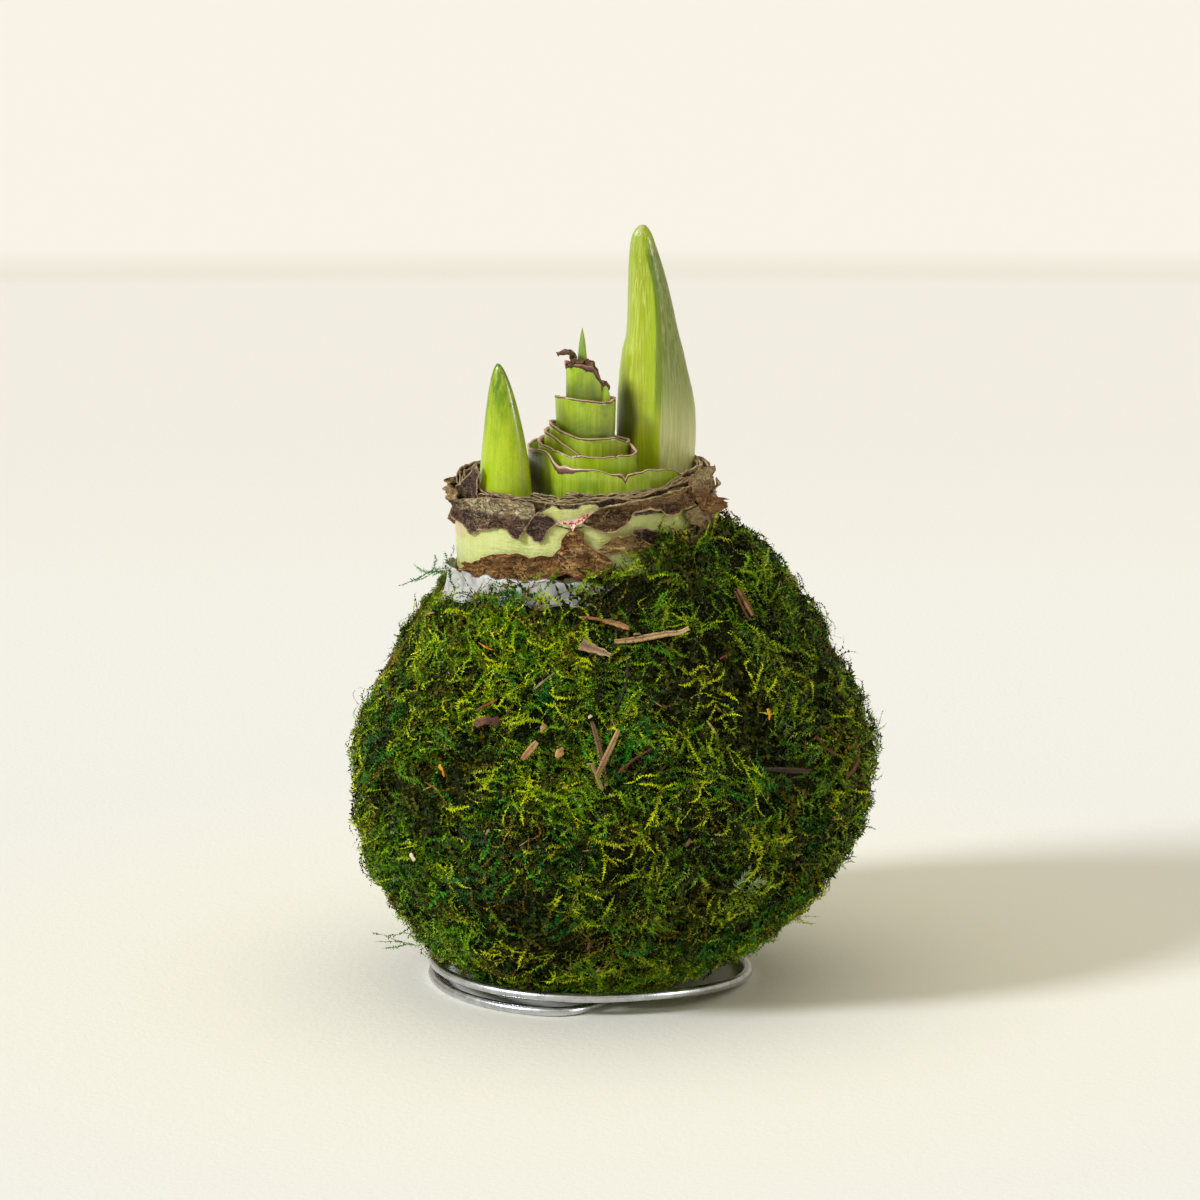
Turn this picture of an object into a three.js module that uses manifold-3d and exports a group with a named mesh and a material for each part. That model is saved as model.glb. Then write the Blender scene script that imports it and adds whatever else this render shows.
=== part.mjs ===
// An amaryllis bulb in a coat of wax, wrapped in sheet moss and standing on a coil of wire.
// Millimetres, +Z up. Everything is laid out round the axis of the wire coil, with the floor at z = 0,
// and the last lines move the whole so that the middle of its box lies over the origin.
// Angles are in degrees round +Z: 0 is to the right (+X), -90 to the front (-Y), 180 to the left.
import * as THREE from "three";
import { mergeVertices } from "three/addons/utils/BufferGeometryUtils.js";
import Module from "manifold-3d";

const wasm = await Module();
wasm.setup();

const { smoothstep, lerp, degToRad, clamp } = THREE.MathUtils;

// Driving sizes
const gap = 0.3; // running gap between pieces that lie against each other
const wireRadius = 1.0;
const coilRadius = 33; // to the middle of the wire
const coilPitch = 3.2; // rise from the lower turn to the upper one
const spikeTop = 32; // the wire's end, inside the bulb
const neckX = -1.4; // the neck stands a little left of the coil's axis
const neckRadius = 26;
const neckTop = 103;
const bellyLean = 4.6; // the ball bulges to the right
const bellyHeight = 52;
const waxWall = 1.6;
const waxRim = 86.2;
const mossLift = 12.5; // how much higher the moss climbs on the right than on the left
const mossLiftSide = 12; // degrees
const mossFoot = 2.4; // underside of the ball, just clear of the wire
const sprigCount = 100;

// Colours
const neckGreen = { color: 0xb4c46a, roughness: 0.5 };
const waxWhite = { color: 0xb9bab4, roughness: 0.45 };
const mossGreen = { color: 0x38500f, roughness: 0.95 };
const zincGrey = { color: 0x9fa3a6, roughness: 0.3, metalness: 1.0 };
const budGreen = { color: 0x8fb11a, roughness: 0.35 };
const sheathGreen = { color: 0x93b045, roughness: 0.5 };
const paperBrown = { color: 0x6d4f35, roughness: 0.85 };
const twigBrown = { color: 0x76512f, roughness: 0.8 };

// ---------- helpers ----------

// A repeatable stream of numbers from 0 to 1.
function drawFrom(seed) {
  let state = seed;
  return () => {
    state = (state * 1664525 + 1013904223) % 4294967296;
    return state / 4294967296;
  };
}

// Moves each vertex of a geometry with place(vertex) and joins the ones that meet.
function reshape(geometry, place) {
  const position = geometry.getAttribute("position");
  const vertex = new THREE.Vector3();
  for (let i = 0; i < position.count; i += 1) {
    vertex.fromBufferAttribute(position, i);
    const moved = place(vertex);
    position.setXYZ(i, moved.x, moved.y, moved.z);
  }
  geometry.deleteAttribute("normal");
  geometry.deleteAttribute("uv");
  const merged = mergeVertices(geometry, 1e-3);
  merged.computeVertexNormals();
  return merged;
}

function toSolid(geometry) {
  const mesh = new wasm.Mesh({
    numProp: 3,
    vertProperties: geometry.getAttribute("position").array,
    triVerts: new Uint32Array(geometry.index.array),
  });
  return new wasm.Manifold(mesh);
}

// The largest body of a solid, as a geometry.
function toGeometry(solid) {
  const bodies = solid.decompose();
  const largest = bodies.reduce((a, b) => (b.volume() > a.volume() ? b : a));
  const { vertProperties, triVerts } = largest.getMesh();
  const geometry = new THREE.BufferGeometry();
  geometry.setAttribute("position", new THREE.BufferAttribute(vertProperties, 3));
  geometry.setIndex(new THREE.BufferAttribute(triVerts, 1));
  geometry.computeVertexNormals();
  return geometry;
}

function addPiece(group, name, geometry, look) {
  const mesh = new THREE.Mesh(geometry, new THREE.MeshStandardMaterial({ metalness: 0, ...look }));
  mesh.name = name;
  group.add(mesh);
}

const outline = (pairs) => pairs.map(([radius, height]) => new THREE.Vector2(radius, height));

// A body of revolution round +Z.
function turned(profile, segments) {
  return new THREE.LatheGeometry(profile, segments).rotateX(Math.PI / 2);
}

// How far the ball's middle lies to the right of the coil's axis, at a height.
function lean(height) {
  const out = bellyLean * smoothstep(height, 0, bellyHeight);
  return out + (neckX - bellyLean) * smoothstep(height, 58, 88);
}

// A height at an angle, from the heights to the right, back, left and front.
function rimAt(turn, [right, back, left, front]) {
  const a = degToRad(turn);
  const mean = (right + back + left + front) / 4;
  const oval = ((right + left - back - front) / 4) * Math.cos(2 * a);
  return mean + ((right - left) / 2) * Math.cos(a) + ((back - front) / 2) * Math.sin(a) + oval;
}

// A torn edge, from -size to size.
function torn(turn, seed, size) {
  const wave = (count, share) => share * Math.sin(degToRad(turn * count) + seed * (count + 1.3));
  return size * (wave(5, 0.5) + wave(12, 0.3) + wave(27, 0.2));
}

// A value part way along a list, eased between its entries.
function along(values, share) {
  const place = clamp(share, 0, 1) * (values.length - 1);
  const from = Math.min(Math.floor(place), values.length - 2);
  return lerp(values[from], values[from + 1], smoothstep(place - from, 0, 1));
}

// A curved sheet standing round an upright axis, from one angle to another.
// low and high give its edges at an angle, and flare is how far the top leans out.
function wrappedSheet({ centre, half, wall, from, to, low, high, flare = 0, steps = 28 }) {
  const sheet = new THREE.BoxGeometry(1, 1, 1, steps, 1, 1);
  return reshape(sheet, (v) => {
    const share = v.x + 0.5;
    const turn = lerp(from, to, share);
    const up = v.y + 0.5;
    const out = (v.z - 0.5) * wall + flare * up;
    const a = degToRad(turn);
    return new THREE.Vector3(
      centre[0] + (half[0] + out) * Math.cos(a),
      centre[1] + (half[1] + out) * Math.sin(a),
      lerp(low(turn, share), high(turn, share), up),
    );
  });
}

// ---------- wire ----------

// The wire's line: up in the bulb, out under the ball, and clockwise round the coil twice.
function wireCurve() {
  const points = [];
  for (const height of [spikeTop, 24, 16, 9, 5]) points.push([0, 0, height]);
  points.push([1.1, -1.5, 2.3], [3.4, -4.9, wireRadius], [5.8, -10.4, wireRadius]);
  points.push([6.1, -16.5, wireRadius], [3.9, -22.5, wireRadius], [0.2, -28, wireRadius]);
  points.push([-5, -31.9, wireRadius]);
  const coilStart = -112;
  const coilEnd = -632;
  for (let turn = coilStart; turn >= coilEnd; turn -= 13) {
    const a = degToRad(turn);
    const climb = 1 - smoothstep(turn, -438, -340);
    points.push([coilRadius * Math.cos(a), coilRadius * Math.sin(a), wireRadius + coilPitch * climb]);
  }
  return new THREE.CatmullRomCurve3(points.map((p) => new THREE.Vector3(...p)));
}

// A round wire of eight flats, one of them always downward on the coil.
function wireGeometry(radius, steps = 88) {
  const curve = wireCurve();
  const line = curve.getSpacedPoints(steps);
  for (const point of line) point.z = Math.max(point.z, wireRadius);
  const frames = line.map((point, i) => {
    const ahead = line[Math.min(i + 1, steps)].clone().sub(line[Math.max(i - 1, 0)]).normalize();
    return { point, ahead };
  });
  let up = new THREE.Vector3(0, 0, 1);
  for (const frame of [...frames].reverse()) {
    if (Math.abs(frame.ahead.z) < 0.7) up = new THREE.Vector3(0, 0, 1);
    up = up.clone().addScaledVector(frame.ahead, -up.dot(frame.ahead)).normalize();
    frame.up = up;
    frame.side = new THREE.Vector3().crossVectors(up, frame.ahead);
  }
  const sides = 8;
  const corner = radius / Math.cos(Math.PI / sides);
  const rod = new THREE.CylinderGeometry(1, 1, 1, sides, steps, false, Math.PI / sides);
  return reshape(rod, (v) => {
    const { point, up: upward, side } = frames[Math.round((v.y + 0.5) * steps)];
    return point.clone().addScaledVector(side, -v.x * corner).addScaledVector(upward, v.z * corner);
  });
}

// ---------- bulb, wax and moss ----------

const bulbOutline = [
  [0, 6.3], [14, 7], [24, 11], [34, 18], [40.5, 27], [44, 38], [44.8, 47], [43.2, 57],
  [38.5, 67], [32.5, 75], [28, 81], [neckRadius, 86.4], [neckRadius, 95], [neckRadius - 0.1, neckTop],
];

const mossOutline = [
  [0, mossFoot], [20, mossFoot], [28, 5.2], [35.6, 10.2], [44, 20], [49.2, 28.5], [52, 37.5],
  [52.9, 47], [51.3, 57], [46.9, 66.5], [39.2, 75.8], [33.4, 81.2], [30.6, 84],
];

// The bulb's outline below the neck, moved outward along its own slope.
function coatOutline(distance) {
  const below = bulbOutline.slice(0, 12);
  return below.map(([radius, height], i) => {
    const [r0, z0] = below[Math.max(i - 1, 0)];
    const [r1, z1] = below[Math.min(i + 1, below.length - 1)];
    const length = Math.hypot(r1 - r0, z1 - z0);
    if (radius === 0) return [0, height - distance];
    return [radius + ((z1 - z0) / length) * distance, height - ((r1 - r0) / length) * distance];
  });
}

const leaning = (v) => new THREE.Vector3(v.x + lean(v.z), v.y, v.z);

function bulbSolid() {
  const profile = [...outline(bulbOutline), new THREE.Vector2(0, neckTop)];
  return toSolid(reshape(turned(profile, 28), leaning));
}

function waxSolid() {
  const rimOut = neckRadius + gap + waxWall;
  const outer = [...coatOutline(gap + waxWall).slice(0, -1), [rimOut + 0.2, 84], [rimOut, waxRim]];
  const inner = [[neckRadius + gap + 0.1, waxRim], ...coatOutline(gap).reverse()];
  const rim = (v) => {
    const turn = (Math.atan2(v.y, v.x) * 180) / Math.PI;
    const share = smoothstep(v.z, 84, waxRim);
    return leaning(new THREE.Vector3(v.x, v.y, v.z + share * torn(turn, 2.1, 0.7)));
  };
  return toSolid(reshape(turned(outline([...outer, ...inner]), 28), rim));
}

// Soft lumps all over the moss, in millimetres.
function mossLumps(v) {
  const broad = Math.sin(v.x / 9.5 + 0.6) * Math.sin(v.y / 8.3 + 1.9) * Math.sin(v.z / 8.9 + 0.4);
  const fine = Math.sin(v.x / 3.9 + 2.2) * Math.sin(v.y / 4.3 + 0.7) * Math.sin(v.z / 3.7 + 1.1);
  return 1.3 * broad + 0.9 * fine;
}

// Settles a point of the plain moss outline into its lumpy, lopsided place.
function settleMoss(v) {
  const turn = Math.atan2(v.y, v.x);
  const radius = Math.hypot(v.x, v.y) || 1e-9;
  const relief = mossLumps(v) * smoothstep(v.z, 7, 20) * (1 - 0.7 * smoothstep(v.z, 76, 84));
  const side = (0.5 + 0.5 * Math.cos(turn - degToRad(mossLiftSide))) ** 1.5;
  const top = smoothstep(v.z, 60, 84);
  const grown = (radius + relief) / radius;
  const edge = smoothstep(v.z, 80, 84) * torn((turn * 180) / Math.PI, 0.8, 1.1);
  return new THREE.Vector3(v.x * grown + lean(v.z), v.y * grown, v.z + mossLift * side * top + edge);
}

const mossCurve = new THREE.CatmullRomCurve3(
  mossOutline.slice(1).map(([radius, height]) => new THREE.Vector3(radius, 0, height)),
);

// A place on the moss: share runs from the rim of its flat foot (0) to its upper rim (1).
function mossPlace(share, turn) {
  const at = mossCurve.getPointAt(clamp(share, 0, 1));
  const a = degToRad(turn);
  return settleMoss(new THREE.Vector3(at.x * Math.cos(a), at.x * Math.sin(a), at.z));
}

function mossNormal(share, turn) {
  const alongRim = mossPlace(share, turn + 2).sub(mossPlace(share, turn - 2));
  const upward = mossPlace(share + 0.015, turn).sub(mossPlace(share - 0.015, turn));
  return alongRim.cross(upward).normalize();
}

// A sprig of moss: a three-sided point that lies along the ball and curls away from it.
function sprigSolid(share, turn, heading, length, girth) {
  const root = mossPlace(share, turn);
  const out = mossNormal(share, turn);
  const upward = new THREE.Vector3(0, 0, 1).addScaledVector(out, -out.z).normalize();
  const around = new THREE.Vector3().crossVectors(upward, out);
  const ahead = upward.multiplyScalar(Math.cos(heading)).addScaledVector(around, Math.sin(heading));
  const side = new THREE.Vector3().crossVectors(out, ahead);
  const cone = new THREE.ConeGeometry(girth, 1, 3, 2);
  const placed = reshape(cone, (v) => {
    const reach = v.y + 0.5;
    const lift = -1.1 + 2 * reach + 1.2 * reach * reach;
    return root
      .clone()
      .addScaledVector(ahead, reach * length)
      .addScaledVector(side, v.x)
      .addScaledVector(out, lift + v.z);
  });
  const solid = toSolid(placed);
  return solid.volume() > 0 ? solid : toSolid(turnInsideOut(placed));
}

function turnInsideOut(geometry) {
  const index = geometry.index.array;
  for (let i = 0; i < index.length; i += 3) [index[i + 1], index[i + 2]] = [index[i + 2], index[i + 1]];
  return geometry;
}

// The moss as one felted shell: outline, less the waxed bulb inside it, plus its standing sprigs.
function mossSolid() {
  const wall = mossCurve.getSpacedPoints(22).map((p) => new THREE.Vector2(p.x, p.z));
  const profile = [...outline([[0, mossFoot]]), ...wall, ...outline([[20, 84], [0, 84]])];
  const outer = toSolid(reshape(turned(profile, 56), settleMoss));
  const clearOfWax = coatOutline(2 * gap + waxWall).slice(0, -1);
  const clearOfNeck = neckRadius + 2 * gap + waxWall + 0.4;
  const hollow = [...clearOfWax, [clearOfNeck, 84], [clearOfNeck, 120], [0, 120]];
  const inner = toSolid(reshape(turned(outline(hollow), 28), leaning));
  let moss = outer.subtract(inner);
  const draw = drawFrom(11);
  const goldenTurn = 137.508;
  for (let i = 0; i < sprigCount; i += 1) {
    const share = lerp(0.26, 0.93, Math.acos(1 - (2 * (i + 0.5)) / sprigCount) / Math.PI);
    const heading = draw() * 2 * Math.PI;
    moss = moss.add(sprigSolid(share, i * goldenTurn, heading, lerp(6, 10, draw()), lerp(1, 1.5, draw())));
  }
  return moss.subtract(inner);
}

// ---------- shoots and sheaths ----------

// A pointed bud with an oval foot: taper shapes its sides, pinch narrows its foot, bend leans it,
// and ridge raises a keel along one side.
function budGeometry(bud) {
  const { foot, half, height, bend, taper, turn = 0, pinch = 0 } = bud;
  const { ridge = 0, ridgeTurn = 0, sides = 20, rows = 14 } = bud;
  const profile = [new THREE.Vector2(0, 0)];
  for (let i = 0; i <= rows; i += 1) {
    const up = 1 - (1 - i / rows) ** 1.3;
    const body = Math.max(1 - up ** taper[0], 0) ** taper[1];
    profile.push(new THREE.Vector2(body * (1 - pinch * (1 - smoothstep(up, 0, 0.25))), up));
  }
  const spin = degToRad(turn);
  return reshape(turned(profile, sides), (v) => {
    const a = Math.atan2(v.y, v.x);
    const keel = 1 + ridge * Math.exp(-(((a - degToRad(ridgeTurn)) / 0.35) ** 2)) * (1 - v.z);
    const x = v.x * half[0] * keel;
    const y = v.y * half[1] * keel;
    const sway = v.z * v.z;
    return new THREE.Vector3(
      foot[0] + x * Math.cos(spin) - y * Math.sin(spin) + bend[0] * sway,
      foot[1] + x * Math.sin(spin) + y * Math.cos(spin) + bend[1] * sway,
      neckTop + v.z * height,
    );
  });
}

const buds = [
  { name: "tall_shoot", foot: [15.2, 7], half: [8, 5.4], height: 54, bend: [-3, -0.5], taper: [2, 0.65],
    pinch: 0.23, ridge: 0.12, ridgeTurn: -75, turn: 8 },
  { name: "short_shoot", foot: [-15.8, -11.8], half: [5.9, 4.2], height: 28.4, bend: [-1.4, 0.4],
    taper: [1.3, 0.6], turn: -26 },
  { name: "tip_leaf", foot: [-0.2, -1.1], half: [1, 0.6], height: 32.6, bend: [0, 0], taper: [4, 0.8],
    sides: 8, rows: 7 },
];

// Cut leaf bases, from the widest at the outside to the narrow one in the middle.
// edge gives the heights of the rim to the right, back, left and front.
const leafBases = [
  { centre: [6.3, 1.8], half: [17.8, 19.2], wall: 0.8, from: -259, to: 99, edge: [107.6, 110, 112, 109] },
  { centre: [4.2, -1.8], half: [13.6, 11], wall: 0.9, from: -228, to: -14, edge: [109.4, 112, 113.8, 110] },
  { centre: [2, -1.6], half: [10, 7.6], wall: 0.8, from: -269, to: 89, edge: [110.8, 113, 115.8, 111.2] },
  { centre: [1.2, -1.5], half: [8.2, 6], wall: 0.8, from: -268, to: 88, edge: [113.4, 115, 117.4, 114.6] },
  { centre: [0.5, -1.4], half: [5.4, 4], wall: 0.8, from: -264, to: 84, flare: 0.9,
    edge: [122.4, 121, 122.6, 122.2] },
  { centre: [0.2, -1.3], half: [3.6, 2.5], wall: 0.8, from: -262, to: 82, flare: 0.3,
    edge: [123.8, 127, 130, 129.4] },
];

// Thin dry layers that show as brown lines inside the neck's edge.
const paperyRings = [
  { centre: [0, 0], half: [25.4, 25.4], from: -266, to: 86, edge: [107, 106.4, 106.2, 104.9] },
  { centre: [1.6, 0.2], half: [22.7, 23.6], from: -122, to: -24, edge: [107.4, 106.6, 105.6, 105.4] },
  { centre: [3.8, 0.6], half: [20.6, 21.4], from: -112, to: -42, edge: [106.9, 106.6, 106, 105.8] },
];

// Dry brown scales round the outside of the neck, with the heights of their lower and upper edges
// from the left to the right.
const neckScales = [
  { name: "neck_scale_upper_left", layer: 0, from: -170, to: -108,
    low: [98, 94.6, 95.4, 97, 96.4, 94.4, 97.2], high: [103.8, 104.2, 104.4, 104.5, 104.4, 104.2, 103.4] },
  { name: "neck_scale_small", layer: 0, from: -106.5, to: -96,
    low: [96.8, 94.2, 95, 98.4], high: [100.4, 101.8, 102.4, 100.4] },
  { name: "neck_scale_upper_right", layer: 0, from: -92, to: -30,
    low: [98.4, 97, 97.2, 98.6, 101, 101.4, 100.8], high: [100.8, 103.2, 104.4, 104.8, 105.6, 106.4, 107] },
  { name: "neck_scale_right_flap", layer: 1, from: -36, to: 6,
    low: [100.2, 97.4, 94.8, 92.4, 93.6], high: [106.4, 107.2, 107.6, 107.4, 106.8] },
  { name: "neck_scale_lower_front", layer: 0, from: -152, to: -70,
    low: [87.4, 87, 87.1, 87.5, 87, 87.2, 87.6, 88], high: [91, 92.2, 92.6, 91.8, 92.2, 93.6, 95.4, 92] },
  { name: "neck_scale_lower_right", layer: 0, from: -68, to: -22,
    low: [87.6, 88.4, 90.6, 90.2, 89.4], high: [92.4, 94.6, 96.2, 95.4, 94.8] },
  { name: "neck_scale_back", layer: 0, from: 14, to: 96,
    low: [96, 92.2, 90.6, 93, 95.6, 94.2], high: [105.6, 106.2, 105.8, 105.4, 105.2, 104.6] },
  { name: "neck_scale_back_left", layer: 0, from: 100, to: 182,
    low: [92.6, 89.4, 88.2, 90.4, 93.8, 97], high: [103.6, 104.8, 104.6, 104.9, 104.4, 103.9] },
];

// Dead tips left on the innermost leaf base: flat ribbons that follow a short curled line.
const deadTips = [
  { name: "dead_tip_curl", width: 1.5,
    points: [[1.5, -3.5, 129.5], [-0.9, -3.5, 131.1], [-3.4, -3.1, 132.5], [-5.4, -3.2, 131.3]] },
  { name: "dead_tip_side", width: 1.4,
    points: [[3, -3.1, 128.2], [4, -2.7, 126.9], [4.9, -2.1, 125.5], [5.4, -1.4, 123.9]] },
];

// ---------- litter caught in the moss ----------

// Where each piece starts and ends on the moss, as [share, turn], and how far it stands off.
const litter = [
  { name: "twig_long", ends: [[0.898, -84.3], [0.878, -61.5]], radius: 0.75 },
  { name: "needle_left", ends: [[0.754, -94], [0.627, -91.3]], radius: 0.6 },
  { name: "needle_cross", ends: [[0.737, -87.7], [0.645, -93.4]], radius: 0.6, lift: 2.1 },
  { name: "needle_low", ends: [[0.71, -106.7], [0.673, -110]], radius: 0.7 },
  { name: "twig_stub", ends: [[0.643, -56.2], [0.622, -42.7]], radius: 0.6 },
  { name: "needle_right", ends: [[0.64, -18], [0.583, -29.7]], radius: 0.5 },
  { name: "twig_shoulder", ends: [[0.922, -37], [0.873, -39.3]], radius: 0.65 },
  { name: "bark_chip", ends: [[0.891, -93.2], [0.865, -86]], radius: 1.5 },
  { name: "twig_back", ends: [[0.7, 70], [0.66, 86]], radius: 0.65 },
  { name: "needle_back", ends: [[0.52, 118], [0.6, 124]], radius: 0.55 },
];

// A short rod that lies half sunk in the moss between two places on it.
function litterGeometry({ ends, radius, lift = 0.5 }, thicker = 0) {
  const steps = 3;
  const points = [];
  for (let i = 0; i <= steps; i += 1) {
    const [share, turn] = [0, 1].map((k) => lerp(ends[0][k], ends[1][k], i / steps));
    points.push(mossPlace(share, turn).addScaledVector(mossNormal(share, turn), lift));
  }
  const line = new THREE.CatmullRomCurve3(points);
  const section = new THREE.Shape().absarc(0, 0, radius + thicker, 0, 2 * Math.PI);
  const rod = new THREE.ExtrudeGeometry(section, { extrudePath: line, steps: 4, curveSegments: 3 });
  return reshape(rod, (v) => v.clone());
}

// ---------- assembly ----------

const bulbGroup = new THREE.Group();
const wireClearance = toSolid(wireGeometry(wireRadius + gap));

addPiece(bulbGroup, "bulb", toGeometry(bulbSolid().subtract(wireClearance)), neckGreen);
addPiece(bulbGroup, "wax_coat", toGeometry(waxSolid().subtract(wireClearance)), waxWhite);

let moss = mossSolid().subtract(wireClearance);
for (const item of litter) moss = moss.subtract(toSolid(litterGeometry(item, gap)));
addPiece(bulbGroup, "moss_wrap", toGeometry(moss), mossGreen);
for (const item of litter) addPiece(bulbGroup, item.name, litterGeometry(item), twigBrown);

addPiece(bulbGroup, "wire_stand", wireGeometry(wireRadius), zincGrey);

// What grows on and round the neck is laid out from the neck's own axis.
const neckGroup = new THREE.Group();
neckGroup.position.x = neckX;
bulbGroup.add(neckGroup);

for (const bud of buds) addPiece(neckGroup, bud.name, budGeometry(bud), budGreen);

leafBases.forEach((base, i) => {
  const high = (turn) => rimAt(turn, base.edge) + torn(turn, i + 1, 0.35);
  const shape = wrappedSheet({ ...base, low: () => neckTop, high });
  addPiece(neckGroup, `leaf_base_${i + 1}`, shape, sheathGreen);
});

paperyRings.forEach((ring, i) => {
  const high = (turn) => rimAt(turn, ring.edge) + torn(turn, i + 4, 0.5);
  const shape = wrappedSheet({ ...ring, wall: 0.6, low: () => neckTop, high });
  addPiece(neckGroup, `papery_ring_${i + 1}`, shape, paperBrown);
});

neckScales.forEach(({ name, layer, from, to, low, high }, i) => {
  const wall = 0.7;
  const radius = neckRadius + gap + wall + layer * (wall + gap);
  const shape = wrappedSheet({
    centre: [0, 0],
    half: [radius, radius],
    wall,
    from,
    to,
    low: (turn, share) => along(low, share) + torn(turn, i, 0.25),
    high: (turn, share) => along(high, share) + torn(turn, i + 7, 0.25),
    steps: 18,
  });
  addPiece(neckGroup, name, shape, paperBrown);
});

for (const { name, width, points } of deadTips) {
  const line = new THREE.CatmullRomCurve3(points.map((p) => new THREE.Vector3(...p)));
  const section = new THREE.Shape().absellipse(0, 0, width / 2, 0.4, 0, 2 * Math.PI);
  const ribbon = new THREE.ExtrudeGeometry(section, { extrudePath: line, steps: 8, curveSegments: 4 });
  addPiece(neckGroup, name, reshape(ribbon, (v) => v.clone()), paperBrown);
}

// The middle of the box goes over the origin.
const middle = new THREE.Box3().setFromObject(bulbGroup, true).getCenter(new THREE.Vector3());
bulbGroup.position.set(-middle.x, -middle.y, 0);

export default bulbGroup;
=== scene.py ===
# An amaryllis bulb in wax and moss on a coil of wire: the looks.
# Lengths here are millimetres, turned into metres only where a mesh, light or camera is made.
# Turns are degrees round +Z: 0 is to the right, -90 to the front.
import math

import bmesh
import bpy
import numpy as np
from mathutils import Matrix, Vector
from mathutils.bvhtree import BVHTree


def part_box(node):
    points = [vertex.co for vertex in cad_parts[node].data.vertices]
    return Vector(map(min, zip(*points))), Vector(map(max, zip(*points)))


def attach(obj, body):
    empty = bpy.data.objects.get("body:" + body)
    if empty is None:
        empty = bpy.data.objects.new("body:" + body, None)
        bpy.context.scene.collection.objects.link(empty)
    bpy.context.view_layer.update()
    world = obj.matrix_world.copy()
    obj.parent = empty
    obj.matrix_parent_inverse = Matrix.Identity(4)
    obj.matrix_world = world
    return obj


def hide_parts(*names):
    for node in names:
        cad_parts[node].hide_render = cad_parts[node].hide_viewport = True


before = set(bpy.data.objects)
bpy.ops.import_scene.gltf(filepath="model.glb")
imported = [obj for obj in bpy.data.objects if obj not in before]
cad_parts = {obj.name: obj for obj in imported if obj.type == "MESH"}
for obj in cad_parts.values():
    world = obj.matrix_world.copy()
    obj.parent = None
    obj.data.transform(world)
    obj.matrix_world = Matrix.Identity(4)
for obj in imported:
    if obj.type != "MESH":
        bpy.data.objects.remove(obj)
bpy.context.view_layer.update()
toMetres = 0.001


# measuring the frame

def nodePoints(name):
    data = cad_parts[name].data
    flat = np.empty(len(data.vertices) * 3)
    data.vertices.foreach_get("co", flat)
    return flat.reshape(-1, 3) / toMetres


def nodeTree(name):
    faces = [tuple(face.vertices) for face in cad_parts[name].data.polygons]
    return BVHTree.FromPolygons([tuple(p) for p in nodePoints(name)], faces)


def boxOf(name):
    low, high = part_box(name)
    return np.array(low) / toMetres, np.array(high) / toMetres


def middleOf(name):
    low, high = boxOf(name)
    return (low + high) / 2


# numbers

def smooth(value, low, high):
    share = np.clip((value - low) / (high - low), 0, 1)
    return share * share * (3 - 2 * share)


def within(value, low, fullFrom, fullTo, high):
    # 0 outside low and high, 1 between the two in the middle
    return smooth(value, low, fullFrom) * (1 - smooth(value, fullTo, high))


def turnFrom(degrees, start):
    # how far a turn is from another, between -180 and 180
    return (degrees - start + 180) % 360 - 180


def unit(vectors):
    return vectors / np.maximum(np.linalg.norm(vectors, axis=-1, keepdims=True), 1e-9)


def waves(points, size, seed, count=8):
    # soft bumps about -1 to 1 high and about size across
    draw = np.random.default_rng(seed)
    ways = unit(draw.normal(size=(count, points.shape[-1])))
    pitch = 2 * np.pi / (size * draw.uniform(1.2, 2.6, count))
    phase = draw.uniform(0, 2 * np.pi, count)
    return np.sin(points @ (ways * pitch[:, None]).T + phase).sum(-1) / math.sqrt(count)


def blurAlong(values, passes, closed=False):
    for _ in range(passes):
        if closed:
            before, after = np.roll(values, 1, axis=0), np.roll(values, -1, axis=0)
        else:
            before = np.concatenate([values[:1], values[:-1]])
            after = np.concatenate([values[1:], values[-1:]])
        values = 0.25 * before + 0.5 * values + 0.25 * after
    return values


def fromTable(table, at, column=1):
    # a column of a table at any value of its first one
    return np.interp(at, [row[0] for row in table], [row[column] for row in table])


def lineThrough(marks, count):
    # evenly spread places on the broken line through some points
    share, at = np.linspace(0, 1, count), np.linspace(0, 1, len(marks))
    return np.stack([np.interp(share, at, marks[:, axis]) for axis in range(3)], -1)


def roundWays(columns):
    # the turns of a ring's points in radians, and unit vectors to them
    turns = np.linspace(0, 2 * np.pi, columns, endpoint=False)
    return turns, np.stack([np.cos(turns), np.sin(turns)], -1)


# making meshes

def addMesh(name, points, faces, material, soft=True, body="root"):
    # points in millimetres; faces is one array of triangles or quads, or a list of such arrays
    groups = faces if isinstance(faces, list) else [faces]
    data = bpy.data.meshes.new(name)
    data.vertices.add(len(points))
    data.vertices.foreach_set("co", (np.asarray(points, float) * toMetres).ravel())
    corners = np.concatenate([g.ravel() for g in groups])
    sizes = np.concatenate([np.full(len(g), g.shape[1]) for g in groups])
    data.loops.add(len(corners))
    data.loops.foreach_set("vertex_index", corners.astype(np.int32))
    data.polygons.add(len(sizes))
    data.polygons.foreach_set("loop_start", np.concatenate([[0], np.cumsum(sizes)[:-1]]).astype(np.int32))
    data.polygons.foreach_set("use_smooth", np.full(len(sizes), soft))
    data.update(calc_edges=True)
    data.validate()
    thing = bpy.data.objects.new(name, data)
    bpy.context.scene.collection.objects.link(thing)
    data.materials.append(material)
    if body:
        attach(thing, body)
    return thing


def paint(thing, name, values):
    layer = thing.data.attributes.new(name, "FLOAT", "POINT")
    layer.data.foreach_set("value", np.asarray(values, np.float32).ravel())


def gridFaces(rows, columns, closed, first=0):
    last = columns if closed else columns - 1
    row, column = np.meshgrid(np.arange(rows - 1), np.arange(last), indexing="ij")
    here, after = row * columns + column, row * columns + (column + 1) % columns
    quads = np.stack([here, after, after + columns, here + columns], -1)
    return quads.reshape(-1, 4) + first


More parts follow.
